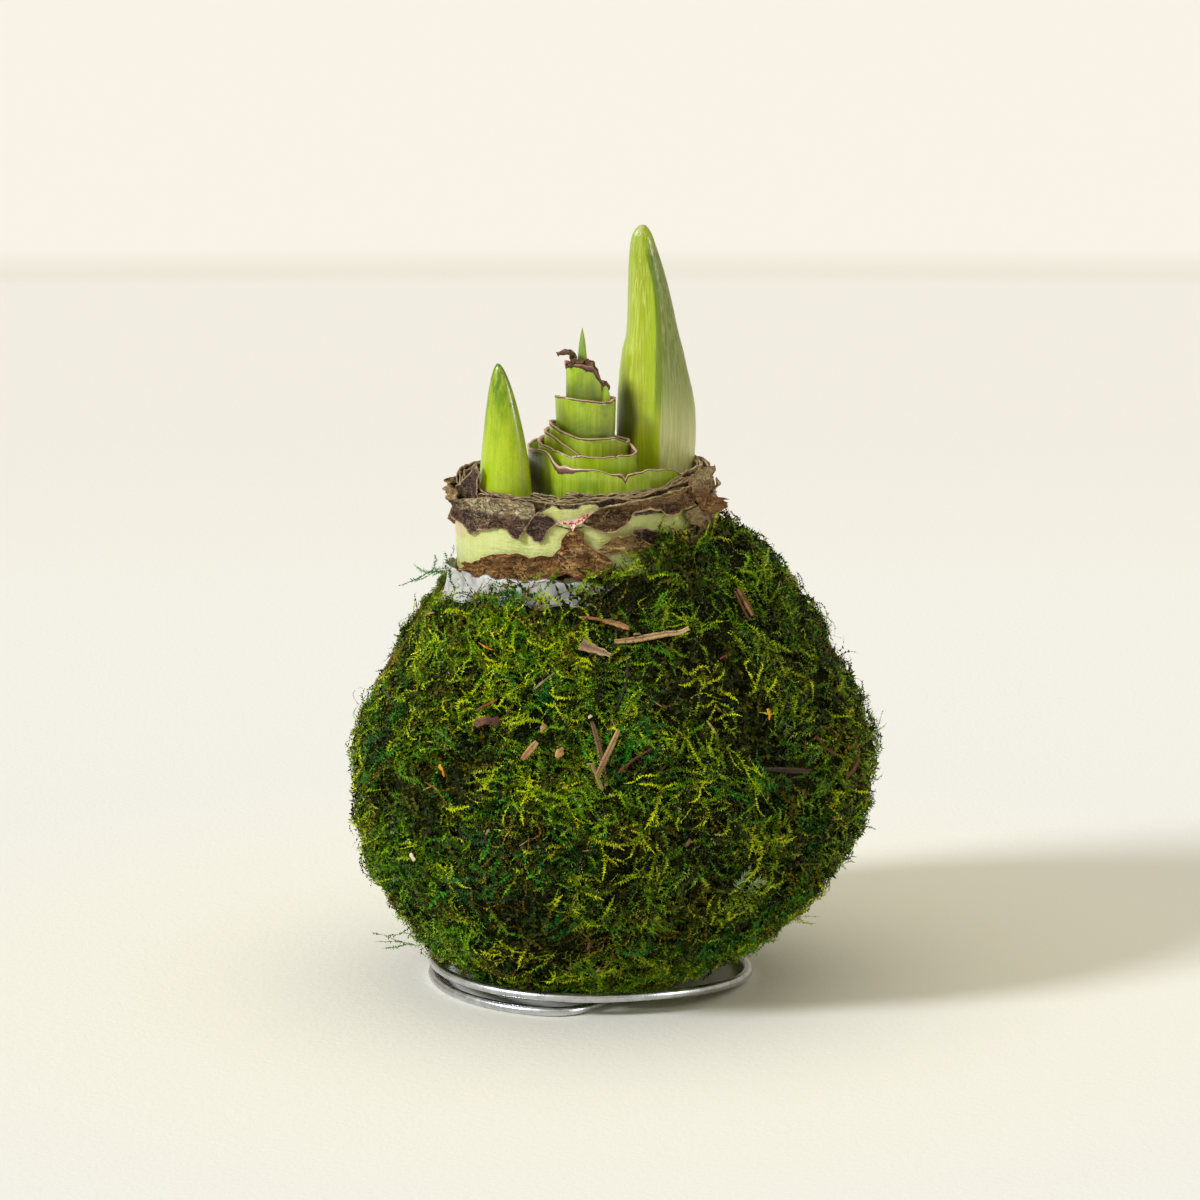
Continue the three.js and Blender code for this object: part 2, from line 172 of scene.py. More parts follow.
def fan(ring, tip, flip=False):
    after = np.roll(ring, -1)
    triangles = np.stack([ring, after, np.full(len(ring), tip)], -1)
    return triangles[:, ::-1] if flip else triangles


def tubeParts(rings, first=0):
    # points and faces of a closed skin over rings of points, with a fan over each end
    rows, columns, _ = rings.shape
    points = np.concatenate([rings.reshape(-1, 3), rings[:1].mean(1), rings[-1:].mean(1)])
    ring = np.arange(columns) + first
    low = fan(ring, first + rows * columns, flip=True)
    high = fan(ring + (rows - 1) * columns, first + rows * columns + 1)
    return points, [gridFaces(rows, columns, True, first), low, high]


def tubeMesh(name, rings, material, **values):
    # each value is (one number a point of the rings, the numbers of its two tips)
    thing = addMesh(name, *tubeParts(rings), material)
    for label, (inside, tips) in values.items():
        paint(thing, label, np.append(inside, tips))
    return thing


def sheetMesh(name, outside, inside, material):
    # a thin closed sheet between two open grids of points
    rows, columns, _ = outside.shape
    total = rows * columns
    front = gridFaces(rows, columns, False)
    back = gridFaces(rows, columns, False, total)[:, ::-1]
    grid = np.arange(total).reshape(rows, columns)
    rim = np.concatenate([grid[0], grid[1:, -1], grid[-1, -2::-1], grid[-2:0:-1, 0]])
    after = np.roll(rim, -1)
    edge = np.stack([after, rim, rim + total, after + total], -1)
    points = np.concatenate([outside.reshape(-1, 3), inside.reshape(-1, 3)])
    return addMesh(name, points, [front, back, edge], material)


# materials

def colour(red, green, blue):
    # a colour as picked on a screen, 0 to 255, as Blender's linear one
    def linear(value):
        value = value / 255
        return value / 12.92 if value <= 0.04045 else ((value + 0.055) / 1.055) ** 2.4
    return (linear(red), linear(green), linear(blue), 1)


def addNode(tree, kind, **settings):
    node = tree.nodes.new(kind)
    for key, value in settings.items():
        setattr(node, key, value)
    return node


def feed(tree, socket, source):
    # a link where source is a socket, and a plain value where it isn't
    if isinstance(source, bpy.types.NodeSocket):
        tree.links.new(source, socket)
    else:
        socket.default_value = source


def newGroup(name, inputs, outputs):
    # a group whose sockets are all plain numbers; inputs gives each one's value
    tree = bpy.data.node_groups.new(name, "ShaderNodeTree")
    for label, value in inputs.items():
        socket = tree.interface.new_socket(label, in_out="INPUT", socket_type="NodeSocketFloat")
        socket.default_value = value
    for label in outputs:
        tree.interface.new_socket(label, in_out="OUTPUT", socket_type="NodeSocketFloat")
    return tree, tree.nodes.new("NodeGroupInput"), tree.nodes.new("NodeGroupOutput")


def placeGroup(tree, group, **values):
    node = addNode(tree, "ShaderNodeGroup", node_tree=group)
    for key, value in values.items():
        feed(tree, node.inputs[key], value)
    return node


def mathNode(tree, operation, first, second):
    node = addNode(tree, "ShaderNodeMath", operation=operation)
    feed(tree, node.inputs[0], first)
    feed(tree, node.inputs[1], second)
    return node.outputs[0]


def scaleAdd(tree, value, scale, more):
    node = addNode(tree, "ShaderNodeMath", operation="MULTIPLY_ADD")
    for socket, source in zip(node.inputs, (value, scale, more)):
        feed(tree, socket, source)
    return node.outputs[0]


def awayFrom(tree, value, level):
    return mathNode(tree, "ABSOLUTE", mathNode(tree, "SUBTRACT", value, level), 0.0)


def mixColour(tree, share, first, second):
    node = addNode(tree, "ShaderNodeMix", data_type="RGBA")
    feed(tree, node.inputs[0], share)
    feed(tree, node.inputs[6], first)
    feed(tree, node.inputs[7], second)
    return node.outputs[2]


def cover(tree, body, tint, mask, share):
    # lays a tint over the body where the mask is, by no more than share
    return mixColour(tree, mathNode(tree, "MULTIPLY", mask, share), body, tint)


def spread(tree, value, low, high, toLow=0.0, toHigh=1.0):
    node = addNode(tree, "ShaderNodeMapRange", interpolation_type="SMOOTHSTEP")
    for socket, source in zip(node.inputs, (value, low, high, toLow, toHigh)):
        feed(tree, socket, source)
    return node.outputs[0]


def attribute(tree, name):
    return addNode(tree, "ShaderNodeAttribute", attribute_name=name).outputs["Fac"]


def noiseNode(tree, size, stretch=(1, 1, 1), detail=4.0, rough=0.55, distortion=0.0):
    # size in millimetres; stretch makes the grain longer along an axis
    place = addNode(tree, "ShaderNodeTexCoord").outputs["Object"]
    scale = addNode(tree, "ShaderNodeMapping")
    feed(tree, scale.inputs["Vector"], place)
    scale.inputs["Scale"].default_value = [1 / (size * toMetres * s) for s in stretch]
    node = addNode(tree, "ShaderNodeTexNoise")
    feed(tree, node.inputs["Vector"], scale.outputs[0])
    node.inputs["Scale"].default_value = 1
    node.inputs["Detail"].default_value = detail
    node.inputs["Roughness"].default_value = rough
    node.inputs["Distortion"].default_value = distortion
    return node.outputs["Fac"]


def makeStreaks():
    # long fibres that run up the piece, fine ones over coarse ones
    inputs = {"Sharpness": 0.2, "Fine Share": 0.4}
    tree, inside, outside = newGroup("growthStreaks", inputs, ("Mask", "Height"))
    coarse = noiseNode(tree, 1.6, (1, 1, 14), detail=3)
    fine = noiseNode(tree, 0.45, (1, 1, 22), detail=2)
    both = addNode(tree, "ShaderNodeMix", data_type="FLOAT")
    feed(tree, both.inputs[0], inside.outputs["Fine Share"])
    feed(tree, both.inputs[2], coarse)
    feed(tree, both.inputs[3], fine)
    low = mathNode(tree, "SUBTRACT", 0.5, inside.outputs["Sharpness"])
    high = mathNode(tree, "ADD", 0.5, inside.outputs["Sharpness"])
    feed(tree, outside.inputs["Mask"], spread(tree, both.outputs[0], low, high))
    feed(tree, outside.inputs["Height"], both.outputs[0])
    return tree


def makeBlotches():
    # soft patches with ragged borders
    tree, inside, outside = newGroup("softBlotches", {"Cover": 0.5}, ("Mask", "Fine"))
    broad = noiseNode(tree, 6, detail=5, rough=0.6, distortion=0.4)
    edge = mathNode(tree, "SUBTRACT", 1.0, inside.outputs["Cover"])
    low = mathNode(tree, "SUBTRACT", edge, 0.08)
    high = mathNode(tree, "ADD", edge, 0.08)
    feed(tree, outside.inputs["Mask"], spread(tree, broad, low, high))
    feed(tree, outside.inputs["Fine"], noiseNode(tree, 0.7, detail=4))
    return tree


def makeRimDry():
    # where a cut or torn edge has dried, from the rim attribute, with a ragged border
    tree, inside, outside = newGroup("driedRim", {"Reach": 0.5, "Raggedness": 0.4}, ("Mask", "Line"))
    rim = attribute(tree, "rim")
    ragged = mathNode(tree, "SUBTRACT", noiseNode(tree, 0.9, (1, 1, 2), detail=3), 0.5)
    pushed = scaleAdd(tree, ragged, inside.outputs["Raggedness"], rim)
    start = mathNode(tree, "SUBTRACT", 1.0, inside.outputs["Reach"])
    feed(tree, outside.inputs["Mask"], spread(tree, pushed, start, mathNode(tree, "ADD", start, 0.12)))
    feed(tree, outside.inputs["Line"], spread(tree, rim, 0.5, 0.66))
    return tree


streaks = makeStreaks()
blotches = makeBlotches()
driedRim = makeRimDry()


def newMaterial(name, roughness=0.5, **constants):
    material = bpy.data.materials.new(name)
    material.use_nodes = True
    tree = material.node_tree
    shader = tree.nodes["Principled BSDF"]
    shader.inputs["Roughness"].default_value = roughness
    for label, value in constants.items():
        shader.inputs[label.replace("_", " ")].default_value = value
    return material, tree, shader


def addBump(tree, shader, height, distance):
    # distance in millimetres
    bump = addNode(tree, "ShaderNodeBump")
    bump.inputs["Strength"].default_value = 1
    bump.inputs["Distance"].default_value = distance * toMetres
    feed(tree, bump.inputs["Height"], height)
    feed(tree, shader.inputs["Normal"], bump.outputs["Normal"])


def mossMaterial(name, look):
    # a strand goes from its shaded root to its bright tip; pick tells tufts apart
    material, tree, shader = newMaterial(name, roughness=look["roughness"], Specular_IOR_Level=0.24,
                                         Specular_Tint=(0.9, 1.0, 0.5, 1.0))
    tip, pick = attribute(tree, "tip"), attribute(tree, "pick")
    patch = mathNode(tree, "MULTIPLY", noiseNode(tree, 9, detail=3), 0.5)
    mixed = mathNode(tree, "ADD", mathNode(tree, "MULTIPLY", pick, 0.75), patch)
    fresh = mixColour(tree, spread(tree, mixed, 0.25, 1.0), look["cool"], look["warm"])
    fleck = mathNode(tree, "SUBTRACT", noiseNode(tree, 0.8, detail=2), 0.5)
    shade = mathNode(tree, "ADD", tip, mathNode(tree, "MULTIPLY", fleck, 1.1))
    shade = mathNode(tree, "ADD", shade, attribute(tree, "glow"))  # some strands are darker all along, at random; this also carries painted shade in the creases between clumps and painted light at the ball's foot and upper left
    grown = mixColour(tree, spread(tree, shade, 0.05, 0.85), look["root"], fresh)
    pale = spread(tree, mathNode(tree, "MULTIPLY", pick, tip), look["paleFrom"], look["paleFrom"] + 0.12)
    grown = mixColour(tree, pale, grown, look["pale"])
    gapShade = spread(tree, noiseNode(tree, 0.34, detail=1), 0.52, 0.36)  # painted shade, dark between the tiniest leaves
    feed(tree, shader.inputs["Base Color"], cover(tree, grown, look["root"], gapShade, 0.55))
    return material


def matMaterial():
    material, tree, shader = newMaterial("mossMat", roughness=0.95, Specular_IOR_Level=0.1)
    patch = placeGroup(tree, blotches, Cover=0.5)
    # near black where it shows between the strands: partly the moss's own dark depths, partly painted shade
    base = mixColour(tree, patch.outputs["Mask"], colour(10, 15, 1), colour(28, 24, 4))
    tone = mixColour(tree, spread(tree, noiseNode(tree, 0.45, detail=3), 0.5, 0.62), base, colour(58, 70, 6))
    feed(tree, shader.inputs["Base Color"], tone)
    addBump(tree, shader, noiseNode(tree, 0.8, detail=6, rough=0.7), 0.8)
    return material


def leafMaterial(name, look):
    # living green tissue with pale and dark growth lines, drying towards a rim where it was cut
    material, tree, shader = newMaterial(
        name, roughness=look["roughness"], Specular_IOR_Level=0.4, Subsurface_Weight=0.1,
        Subsurface_Radius=(0.6, 1.0, 0.2), Subsurface_Scale=0.0012,
        Coat_Weight=look["coat"], Coat_Roughness=0.2)
    lines = placeGroup(tree, streaks, Sharpness=look["sharpness"], **{"Fine Share": look["fineShare"]})
    patch = placeGroup(tree, blotches, Cover=0.42)
    fine = patch.outputs["Fine"]
    high = spread(tree, attribute(tree, "up"), look["tipFrom"], 1.0)
    body = mixColour(tree, high, look["low"], look["high"])
    body = cover(tree, body, look["line"], lines.outputs["Mask"], look["lineShare"])
    body = cover(tree, body, look["bruise"], patch.outputs["Mask"], look["bruiseShare"])
    if "shade" in look:  # painted shade, darker down in the gaps between the leaves
        deep = spread(tree, attribute(tree, "depth"), 0.25, 1.0)
        body = cover(tree, body, look["shade"], deep, look["shadeShare"])
    # painted shadow where the short shoot shades the first leaf base, over some brown fibres
    if "castShadow" in look:
        body = cover(tree, body, look["castShadow"], attribute(tree, "castShadow"), 0.9)
    dry = placeGroup(tree, driedRim, Reach=look["dryReach"], Raggedness=0.4)
    crust = look["crust"]
    if "crustMid" in look:  # browner a little below its rim
        crust = mixColour(tree, spread(tree, attribute(tree, "rim"), 0.74, 0.92), look["crustMid"], crust)
    crust = mixColour(tree, spread(tree, fine, 0.3, 0.42), look["crustDark"], crust)
    crust = mixColour(tree, dry.outputs["Line"], look["crustDark"], crust)
    feed(tree, shader.inputs["Base Color"], mixColour(tree, dry.outputs["Mask"], body, crust))
    dull = spread(tree, fine, 0.3, 0.7, look["roughness"] - 0.08, look["roughness"] + 0.12)
    feed(tree, shader.inputs["Roughness"], scaleAdd(tree, dry.outputs["Mask"], 0.35, dull))
    addBump(tree, shader, lines.outputs["Height"], look["bump"])
    return material


def paperMaterial(name, look):
    # dry scale: folds and crinkles that run round the neck, dark weathered patches and a thin pale torn edge
    material, tree, shader = newMaterial(name, roughness=0.6, Specular_IOR_Level=0.25)
    lined = look.get("lined", 1.0)
    crinkle = noiseNode(tree, 0.9, (2.2, 2.2, 1), detail=7, rough=0.66, distortion=0.9)
    vein = noiseNode(tree, 0.34, (1, 1, 7), detail=3, rough=0.6)
    speck = noiseNode(tree, 0.4, (1.5, 1.5, 1), detail=3, rough=0.7)
    crease = noiseNode(tree, 1.5, (2.6, 2.6, 0.8), detail=5, rough=0.6, distortion=1.6)
    # fold and crest, line and glint: painted shade along folds and creases, and a painted highlight beside
    # each
    fold, crest = awayFrom(tree, crease, 0.5), awayFrom(tree, crease, 0.56)
    slant = noiseNode(tree, 2.4, (1.4, 1.4, 2.4), detail=3, rough=0.5, distortion=1.1)
    line, glint = awayFrom(tree, slant, 0.5), awayFrom(tree, slant, 0.53)
    uneven = mathNode(tree, "MULTIPLY", mathNode(tree, "SUBTRACT", crinkle, 0.5), 0.5)
    up = mathNode(tree, "ADD", attribute(tree, "up"), uneven)
    patch = placeGroup(tree, blotches, Cover=look["darkCover"])
    high = spread(tree, up, look["paleFrom"], look["paleFrom"] + 0.22)
    body = mixColour(tree, high, look["mid"], look["pale"])
    body = cover(tree, body, look["dark"], patch.outputs["Mask"], 0.75)
    layers = (  # the value it goes by, where that starts and is full, its share, its colour
        (crinkle, 0.46, 0.34, 0.5, "dark"),
        (crinkle, 0.54, 0.68, 0.5, "fibre"),
        (vein, 0.46, 0.34, 0.4, "dark"),
        (vein, 0.55, 0.7, 0.5, "fibre"),
        # the raised folds of the sheet, painted paler: a painted highlight on their crests
        (attribute(tree, "ridge"), 0.45, 0.95, 0.7, "fibre"),
        (fold, 0.026, 0.0, 0.8 * lined, "dark"),  # thin folded lines: painted shade in the fold, painted highlight along its crest
        (crest, 0.022, 0.0, 0.55 * lined, "pale"),
        (line, 0.022, 0.0, 0.8, "dark"),  # a few long creases that run up aslant: painted shade in each crease, and a painted highlight just beside it
        (glint, 0.018, 0.0, 0.75, "fibre"),
        (speck, 0.6, 0.7, 0.3, "pale"),
        (speck, 0.4, 0.3, 0.4, "dark"),
    )
    for value, start, full, share, tint in layers:
        body = cover(tree, body, look[tint], spread(tree, value, start, full), share)
    dry = placeGroup(tree, driedRim, Reach=0.4, Raggedness=0.5)
    feed(tree, shader.inputs["Base Color"], mixColour(tree, dry.outputs["Mask"], body, look["edge"]))
    height = mathNode(tree, "ADD", crinkle, mathNode(tree, "MULTIPLY", vein, 0.35))
    height = mathNode(tree, "ADD", height, mathNode(tree, "MULTIPLY", spread(tree, fold, 0.0, 0.06), 0.35))
    deep = mathNode(tree, "MULTIPLY", spread(tree, line, 0.022, 0.0), 0.5)
    addBump(tree, shader, mathNode(tree, "SUBTRACT", height, deep), 0.9)
    return material


def waxMaterial():
    material, tree, shader = newMaterial(
        "wax", roughness=0.5, Specular_IOR_Level=0.5, Subsurface_Weight=0.25,
        Subsurface_Radius=(1.2, 1.1, 0.9), Subsurface_Scale=0.002)
    patch = placeGroup(tree, blotches, Cover=0.45)
    body = mixColour(tree, patch.outputs["Mask"], colour(206, 204, 197), colour(168, 167, 160))
    grit = spread(tree, noiseNode(tree, 0.5, detail=5, rough=0.7), 0.58, 0.68)
    body = cover(tree, body, colour(78, 70, 54), grit, 0.7)
    cloud = spread(tree, noiseNode(tree, 2.4, detail=4), 0.5, 0.66)
    body = cover(tree, body, colour(132, 130, 124), cloud, 0.35)
    ragged = mathNode(tree, "MULTIPLY", noiseNode(tree, 1.2, detail=3), 0.6)
    edge = mathNode(tree, "ADD", attribute(tree, "rim"), ragged)
    body = cover(tree, body, colour(78, 56, 50), spread(tree, edge, 0.95, 1.2), 0.9)
    feed(tree, shader.inputs["Base Color"], body)
    addBump(tree, shader, noiseNode(tree, 2.6, detail=6, rough=0.6), 0.22)
    return material


def wireMaterial():
    material, tree, shader = newMaterial("galvanisedWire", roughness=0.26, Metallic=1.0)
    cloud = noiseNode(tree, 3.0, detail=5, rough=0.6)
    flecks = noiseNode(tree, 0.35, detail=3)
    body = mixColour(tree, spread(tree, cloud, 0.35, 0.65), colour(192, 195, 198), colour(214, 216, 218))
    body = cover(tree, body, colour(128, 132, 136), spread(tree, flecks, 0.58, 0.7), 0.2)
    feed(tree, shader.inputs["Base Color"], body)
    feed(tree, shader.inputs["Roughness"], spread(tree, cloud, 0.3, 0.7, 0.24, 0.34))
    addBump(tree, shader, flecks, 0.03)
    return material


def twigMaterial(name, look):
    material, tree, shader = newMaterial(name, roughness=0.7, Specular_IOR_Level=0.3)
    fine = noiseNode(tree, 0.5, detail=4)
    body = mixColour(tree, spread(tree, attribute(tree, "along"), 0.0, 1.0), look["low"], look["high"])
    body = cover(tree, body, look["groove"], attribute(tree, "groove"), 0.8)
    body = mixColour(tree, spread(tree, fine, 0.5, 0.72), body, look["groove"])
    feed(tree, shader.inputs["Base Color"], body)
    addBump(tree, shader, fine, 0.15)
    return material


def neckMaterial():
    # pale green flesh of the neck, browned on its level top
    material, tree, shader = newMaterial(
        "neckFlesh", roughness=0.34, Specular_IOR_Level=0.5, Subsurface_Weight=0.15,
        Subsurface_Radius=(0.8, 1.0, 0.3), Subsurface_Scale=0.002)
    lines = placeGroup(tree, streaks, Sharpness=0.36, **{"Fine Share": 0.35})
    patch = placeGroup(tree, blotches, Cover=0.4)
    fine = patch.outputs["Fine"]
    body = mixColour(tree, lines.outputs["Mask"], colour(192, 200, 106), colour(215, 219, 148))
    body = cover(tree, body, colour(186, 198, 96), patch.outputs["Mask"], 0.5)
    ragged = mathNode(tree, "ADD", attribute(tree, "side"), mathNode(tree, "MULTIPLY", fine, 0.5))
    peeled = mixColour(tree, lines.outputs["Mask"], colour(206, 168, 118), colour(226, 204, 158))
    body = cover(tree, body, colour(170, 128, 84), spread(tree, ragged, 0.58, 0.8), 0.3)
    body = cover(tree, body, peeled, spread(tree, ragged, 0.7, 1.05), 0.6)
    dry = placeGroup(tree, driedRim, Reach=0.6, Raggedness=0.8)
    crust = mixColour(tree, spread(tree, fine, 0.4, 0.6), colour(66, 48, 32), colour(134, 112, 74))
    feed(tree, shader.inputs["Base Color"], mixColour(tree, dry.outputs["Mask"], body, crust))
    wrinkle = noiseNode(tree, 1.3, (3, 3, 0.8), detail=4, rough=0.6, distortion=0.8)
    addBump(tree, shader, mathNode(tree, "ADD", mathNode(tree, "MULTIPLY", wrinkle, 1.2), fine), 0.26)
    return material


# camera, light and floor

wireMiddle = middleOf("wire_stand")
view = {
    "aim": (wireMiddle[0] + 2.0, wireMiddle[1], 80.0),
    "elevation": 11.5,  # degrees above level
    "distance": 1100.0,
    "lens": 160.0,
    "sensor": 36.0,
    "picture": 1200,  # its width and height in dots
}


def sightLine(u, v):
    # from the camera through a place in its picture, in dots from the upper left
    tilt, half = math.radians(view["elevation"]), view["picture"] / 2
    start = np.array(view["aim"]) + np.array([0, -math.cos(tilt), math.sin(tilt)]) * view["distance"]
    dot = view["sensor"] / view["lens"] / view["picture"]
    right, up = (u - half) * dot, (half - v) * dot
    way = np.array([right, math.cos(tilt) + up * math.sin(tilt), up * math.cos(tilt) - math.sin(tilt)])
    return start, unit(way)


def setCamera():
    tilt = math.radians(view["elevation"])
    aim = Vector(view["aim"]) * toMetres
    back = Vector((0, -math.cos(tilt), math.sin(tilt)))
    data = bpy.data.cameras.new("camera")
    data.lens = view["lens"]
    data.sensor_width = view["sensor"]
    data.clip_start = 0.01
    data.clip_end = 60
    camera = bpy.data.objects.new("camera", data)
    camera.location = aim + back * view["distance"] * toMetres
    camera.rotation_euler = back.to_track_quat("Z", "Y").to_euler()
    bpy.context.scene.collection.objects.link(camera)
    bpy.context.scene.camera = camera


def addSun(name, turn, height, softness, strength, tint, glossOnly=False):
    # turn and height in degrees as seen from the bulb
    turn, height = math.radians(turn), math.radians(height)
    way = Vector((math.cos(turn) * math.cos(height), math.sin(turn) * math.cos(height), math.sin(height)))
    data = bpy.data.lights.new(name, "SUN")
    data.angle = math.radians(softness)
    data.energy = strength
    data.color = tint
    lamp = bpy.data.objects.new(name, data)
    lamp.location = way * 1.5
    lamp.rotation_euler = way.to_track_quat("Z", "Y").to_euler()
    lamp.visible_diffuse = not glossOnly
    bpy.context.scene.collection.objects.link(lamp)


def setLights():
    # a warm room that is brighter overhead, and a wide soft key from the upper left
    world = bpy.data.worlds.new("room")
    world.use_nodes = True
    tree = world.node_tree
    place = addNode(tree, "ShaderNodeTexCoord").outputs["Generated"]
    height = addNode(tree, "ShaderNodeSeparateXYZ")
    feed(tree, height.inputs[0], place)
    share = spread(tree, height.outputs["Z"], 0.0, 0.9)
    tone = mixColour(tree, share, (0.38, 0.34, 0.25, 1), (0.79, 0.76, 0.64, 1))
    feed(tree, tree.nodes["Background"].inputs["Color"], tone)
    bpy.context.scene.world = world
    addSun("key", turn=-150, height=30, softness=13, strength=2.5, tint=(0.9, 0.95, 1.06))
    addSun("sparkle", turn=-28, height=18, softness=14, strength=0.9, tint=(1.0, 1.0, 1.0), glossOnly=True)
    bpy.context.scene.view_settings.view_transform = "Standard"
    bpy.context.scene.view_settings.look = "None"


def makeFloor():
    # one wide disc, in metres: paler close round the bulb, which is painted light that lifts the shade there,
    # then a soft darker line, then the cream of the wall
    look = {"middle": colour(249, 245, 233), "round": colour(240, 239, 235), "near": colour(239, 235, 230),
            "line": colour(234, 231, 222), "far": colour(245, 241, 236), "lineAt": 1.035, "radius": 9.0,
            "columns": 96}
    material, tree, shader = newMaterial("paleFloor", roughness=0.9, Specular_IOR_Level=0.1)
    place = addNode(tree, "ShaderNodeTexCoord").outputs["Object"]
    flat = addNode(tree, "ShaderNodeVectorMath", operation="MULTIPLY")
    feed(tree, flat.inputs[0], place)
    feed(tree, flat.inputs[1], (0.5, 1, 1))
    reaches = []
    for source in (place, flat.outputs["Vector"]):
        length = addNode(tree, "ShaderNodeVectorMath", operation="LENGTH")
        feed(tree, length.inputs[0], source)
        reaches.append(length.outputs["Value"])
    nearReach, reach = reaches
    # the middle, paler than the floor further out, is painted light round the bulb's foot
    body = look["middle"]
    for value, start, full, tint in (
            (nearReach, 0.07, 0.2, "round"),
            (reach, 0.3, 0.7, "near"),
            (reach, look["lineAt"] - 0.02, look["lineAt"] + 0.02, "line"),
            (reach, look["lineAt"] + 0.02, look["lineAt"] + 0.11, "far")):
        body = mixColour(tree, spread(tree, value, start, full), body, look[tint])
    feed(tree, shader.inputs["Base Color"], body)
    addBump(tree, shader, noiseNode(tree, 1.6, detail=5, rough=0.7), 0.12)
    turns, wayOut = roundWays(look["columns"])
    points = np.pad(wayOut, ((0, 1), (0, 1))) * look["radius"] / toMetres
    floor = addMesh("floor", points, fan(np.arange(len(turns)), len(turns)), material, body=None)


setCamera()
setLights()
makeFloor()
print("amaryllis: camera, lights and floor set")


# neck: where everything on it is measured from

neckMiddle = middleOf("papery_ring_1")[:2]
neckTop = boxOf("bulb")[1][2]


def lineOf(name, heights):
    # middle and radius of a turned node at each height, from its right and left sides
    tree, centre, outside = nodeTree(name), middleOf(name), 90

    def sideAt(way, height):
        start = Vector((centre[0] + way * outside, centre[1], height))
        return tree.ray_cast(start, Vector((-way, 0, 0)))[0][0]

    right, left = np.array([[sideAt(way, height) for height in heights] for way in (1, -1)])
    return (right + left) / 2, (right - left) / 2


def levelRings(middles, radii, levels, wayOut):
    # a level circle for each level, with its middle right behind or before the neck's
    rings = np.zeros((len(levels), len(wayOut), 3))
    rings[..., 0] = middles[:, None]
    rings[..., 1] = neckMiddle[1]
    rings[..., :2] += radii[:, None, None] * wayOut
    rings[..., 2] = levels[:, None]
    return rings


def makeBulb():
    look = {"columns": 150, "lumps": 0.28, "bevel": 0.5, "ridges": 0.35, "blushTurn": 193, "blushWidth": 12}
    heights = np.concatenate([np.linspace(6.9, 80, 9), np.linspace(81.5, neckTop - 0.6, 34)])
    middles, radii = lineOf("bulb", heights)
    turns, wayOut = roundWays(look["columns"])
    side = levelRings(middles, radii, heights, wayOut)
    side[..., :2] += (waves(side * (1, 1, 0.35), 6, 5) * look["lumps"])[..., None] * wayOut
    # the level top, in rings that shrink to the middle, ridged like the ends of packed scales
    shares = np.linspace(1, 0.04, 34)
    same, widest = np.ones(len(shares)), radii[-1] - look["bevel"]
    top = levelRings(middles[-1] * same, widest * shares, (neckTop - 0.15) * same, wayOut)
    crest = np.sin(shares[:, None] * 70 + 1.6 * waves(top, 9, 8)) * look["ridges"] - look["ridges"]
    top[..., 2] += crest * smooth(1 - shares, 0, 0.03)[:, None]
    rings = np.concatenate([side, top])
    away = turnFrom(np.degrees(turns), look["blushTurn"])
    blush = np.exp(-(away / look["blushWidth"]) ** 2) * within(rings[..., 2], 93.4, 95.4, 97.6, 98.8)
    rim = np.concatenate([smooth(side[..., 2], neckTop - 1.6, neckTop - 0.2), np.ones(top.shape[:2])])
    thing = tubeMesh("bulbBody", rings, neckMaterial(), rim=(rim, (0, 1)), side=(blush, (0, 0)))
    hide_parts("bulb")


def makeWax():
    look = {"columns": 150, "rough": 0.07, "lip": 2.6, "wall": 1.35, "rimFrom": 82, "rimSize": 27}
    low, high = boxOf("wax_coat")
    rimAt = high[2] - 1.6
    heights = np.concatenate([np.linspace(low[2] + 0.6, 79, 12), np.linspace(80, rimAt, 12)])
    middles, radii = lineOf("wax_coat", heights)
    turns, wayOut = roundWays(look["columns"])
    degrees = np.degrees(turns)
    slope = unit(np.stack([np.gradient(heights), -np.gradient(radii)], -1)) * look["wall"]  # outward, upward
    outer = levelRings(middles, radii, heights, wayOut)
    inner = levelRings(middles, np.maximum(radii - slope[:, 0], 0.6), heights - slope[:, 1], wayOut)[::-1]
    rimLine = np.pad(wayOut, ((0, 0), (0, 1))) * look["rimSize"]
    ragged = waves(rimLine, 3, 4) * 0.6 + waves(rimLine, 9, 6) * 0.7 + look["lip"]
    standOff = np.exp(-((degrees - 198) / 13) ** 2)  # a lip that has come away at the left
    rise = fromTable(((235, 0), (248, 1.2), (262, 1.6), (275, 0.8), (285, 0)), degrees)
    lift, liftInner = [smooth(part[..., 2], look["rimFrom"], rimAt) for part in (outer, inner)]
    outer[..., 2] += lift * ragged
    outer[..., :2] += (waves(outer, 2.2, 3) * look["rough"] * lift)[..., None] * wayOut
    outer[..., :2] += (lift * standOff * 1.3)[..., None] * wayOut
    outer[..., 2] += lift * (standOff * 1.7 + rise)
    inner[..., 2] += liftInner * (ragged + rise - standOff * 0.6)
    top = (outer[-1:] + inner[:1]) / 2 + (0, 0, 0.35)
    rings = np.concatenate([outer, top, inner])
    faces = gridFaces(len(rings) + 1, look["columns"], True) % (len(rings) * look["columns"])
    thing = addMesh("waxCoat", rings.reshape(-1, 3), faces, waxMaterial())
    fromTop = np.abs(np.arange(len(rings)) - len(outer))
    edge = fromTable(((0, 1.0), (1, 0.8), (2, 0.35), (3, 0)), fromTop)
    paint(thing, "rim", np.repeat(edge, look["columns"]))
    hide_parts("wax_coat")


makeBulb()
makeWax()
print("amaryllis: bulb and wax made")


# sheets wrapped round the neck

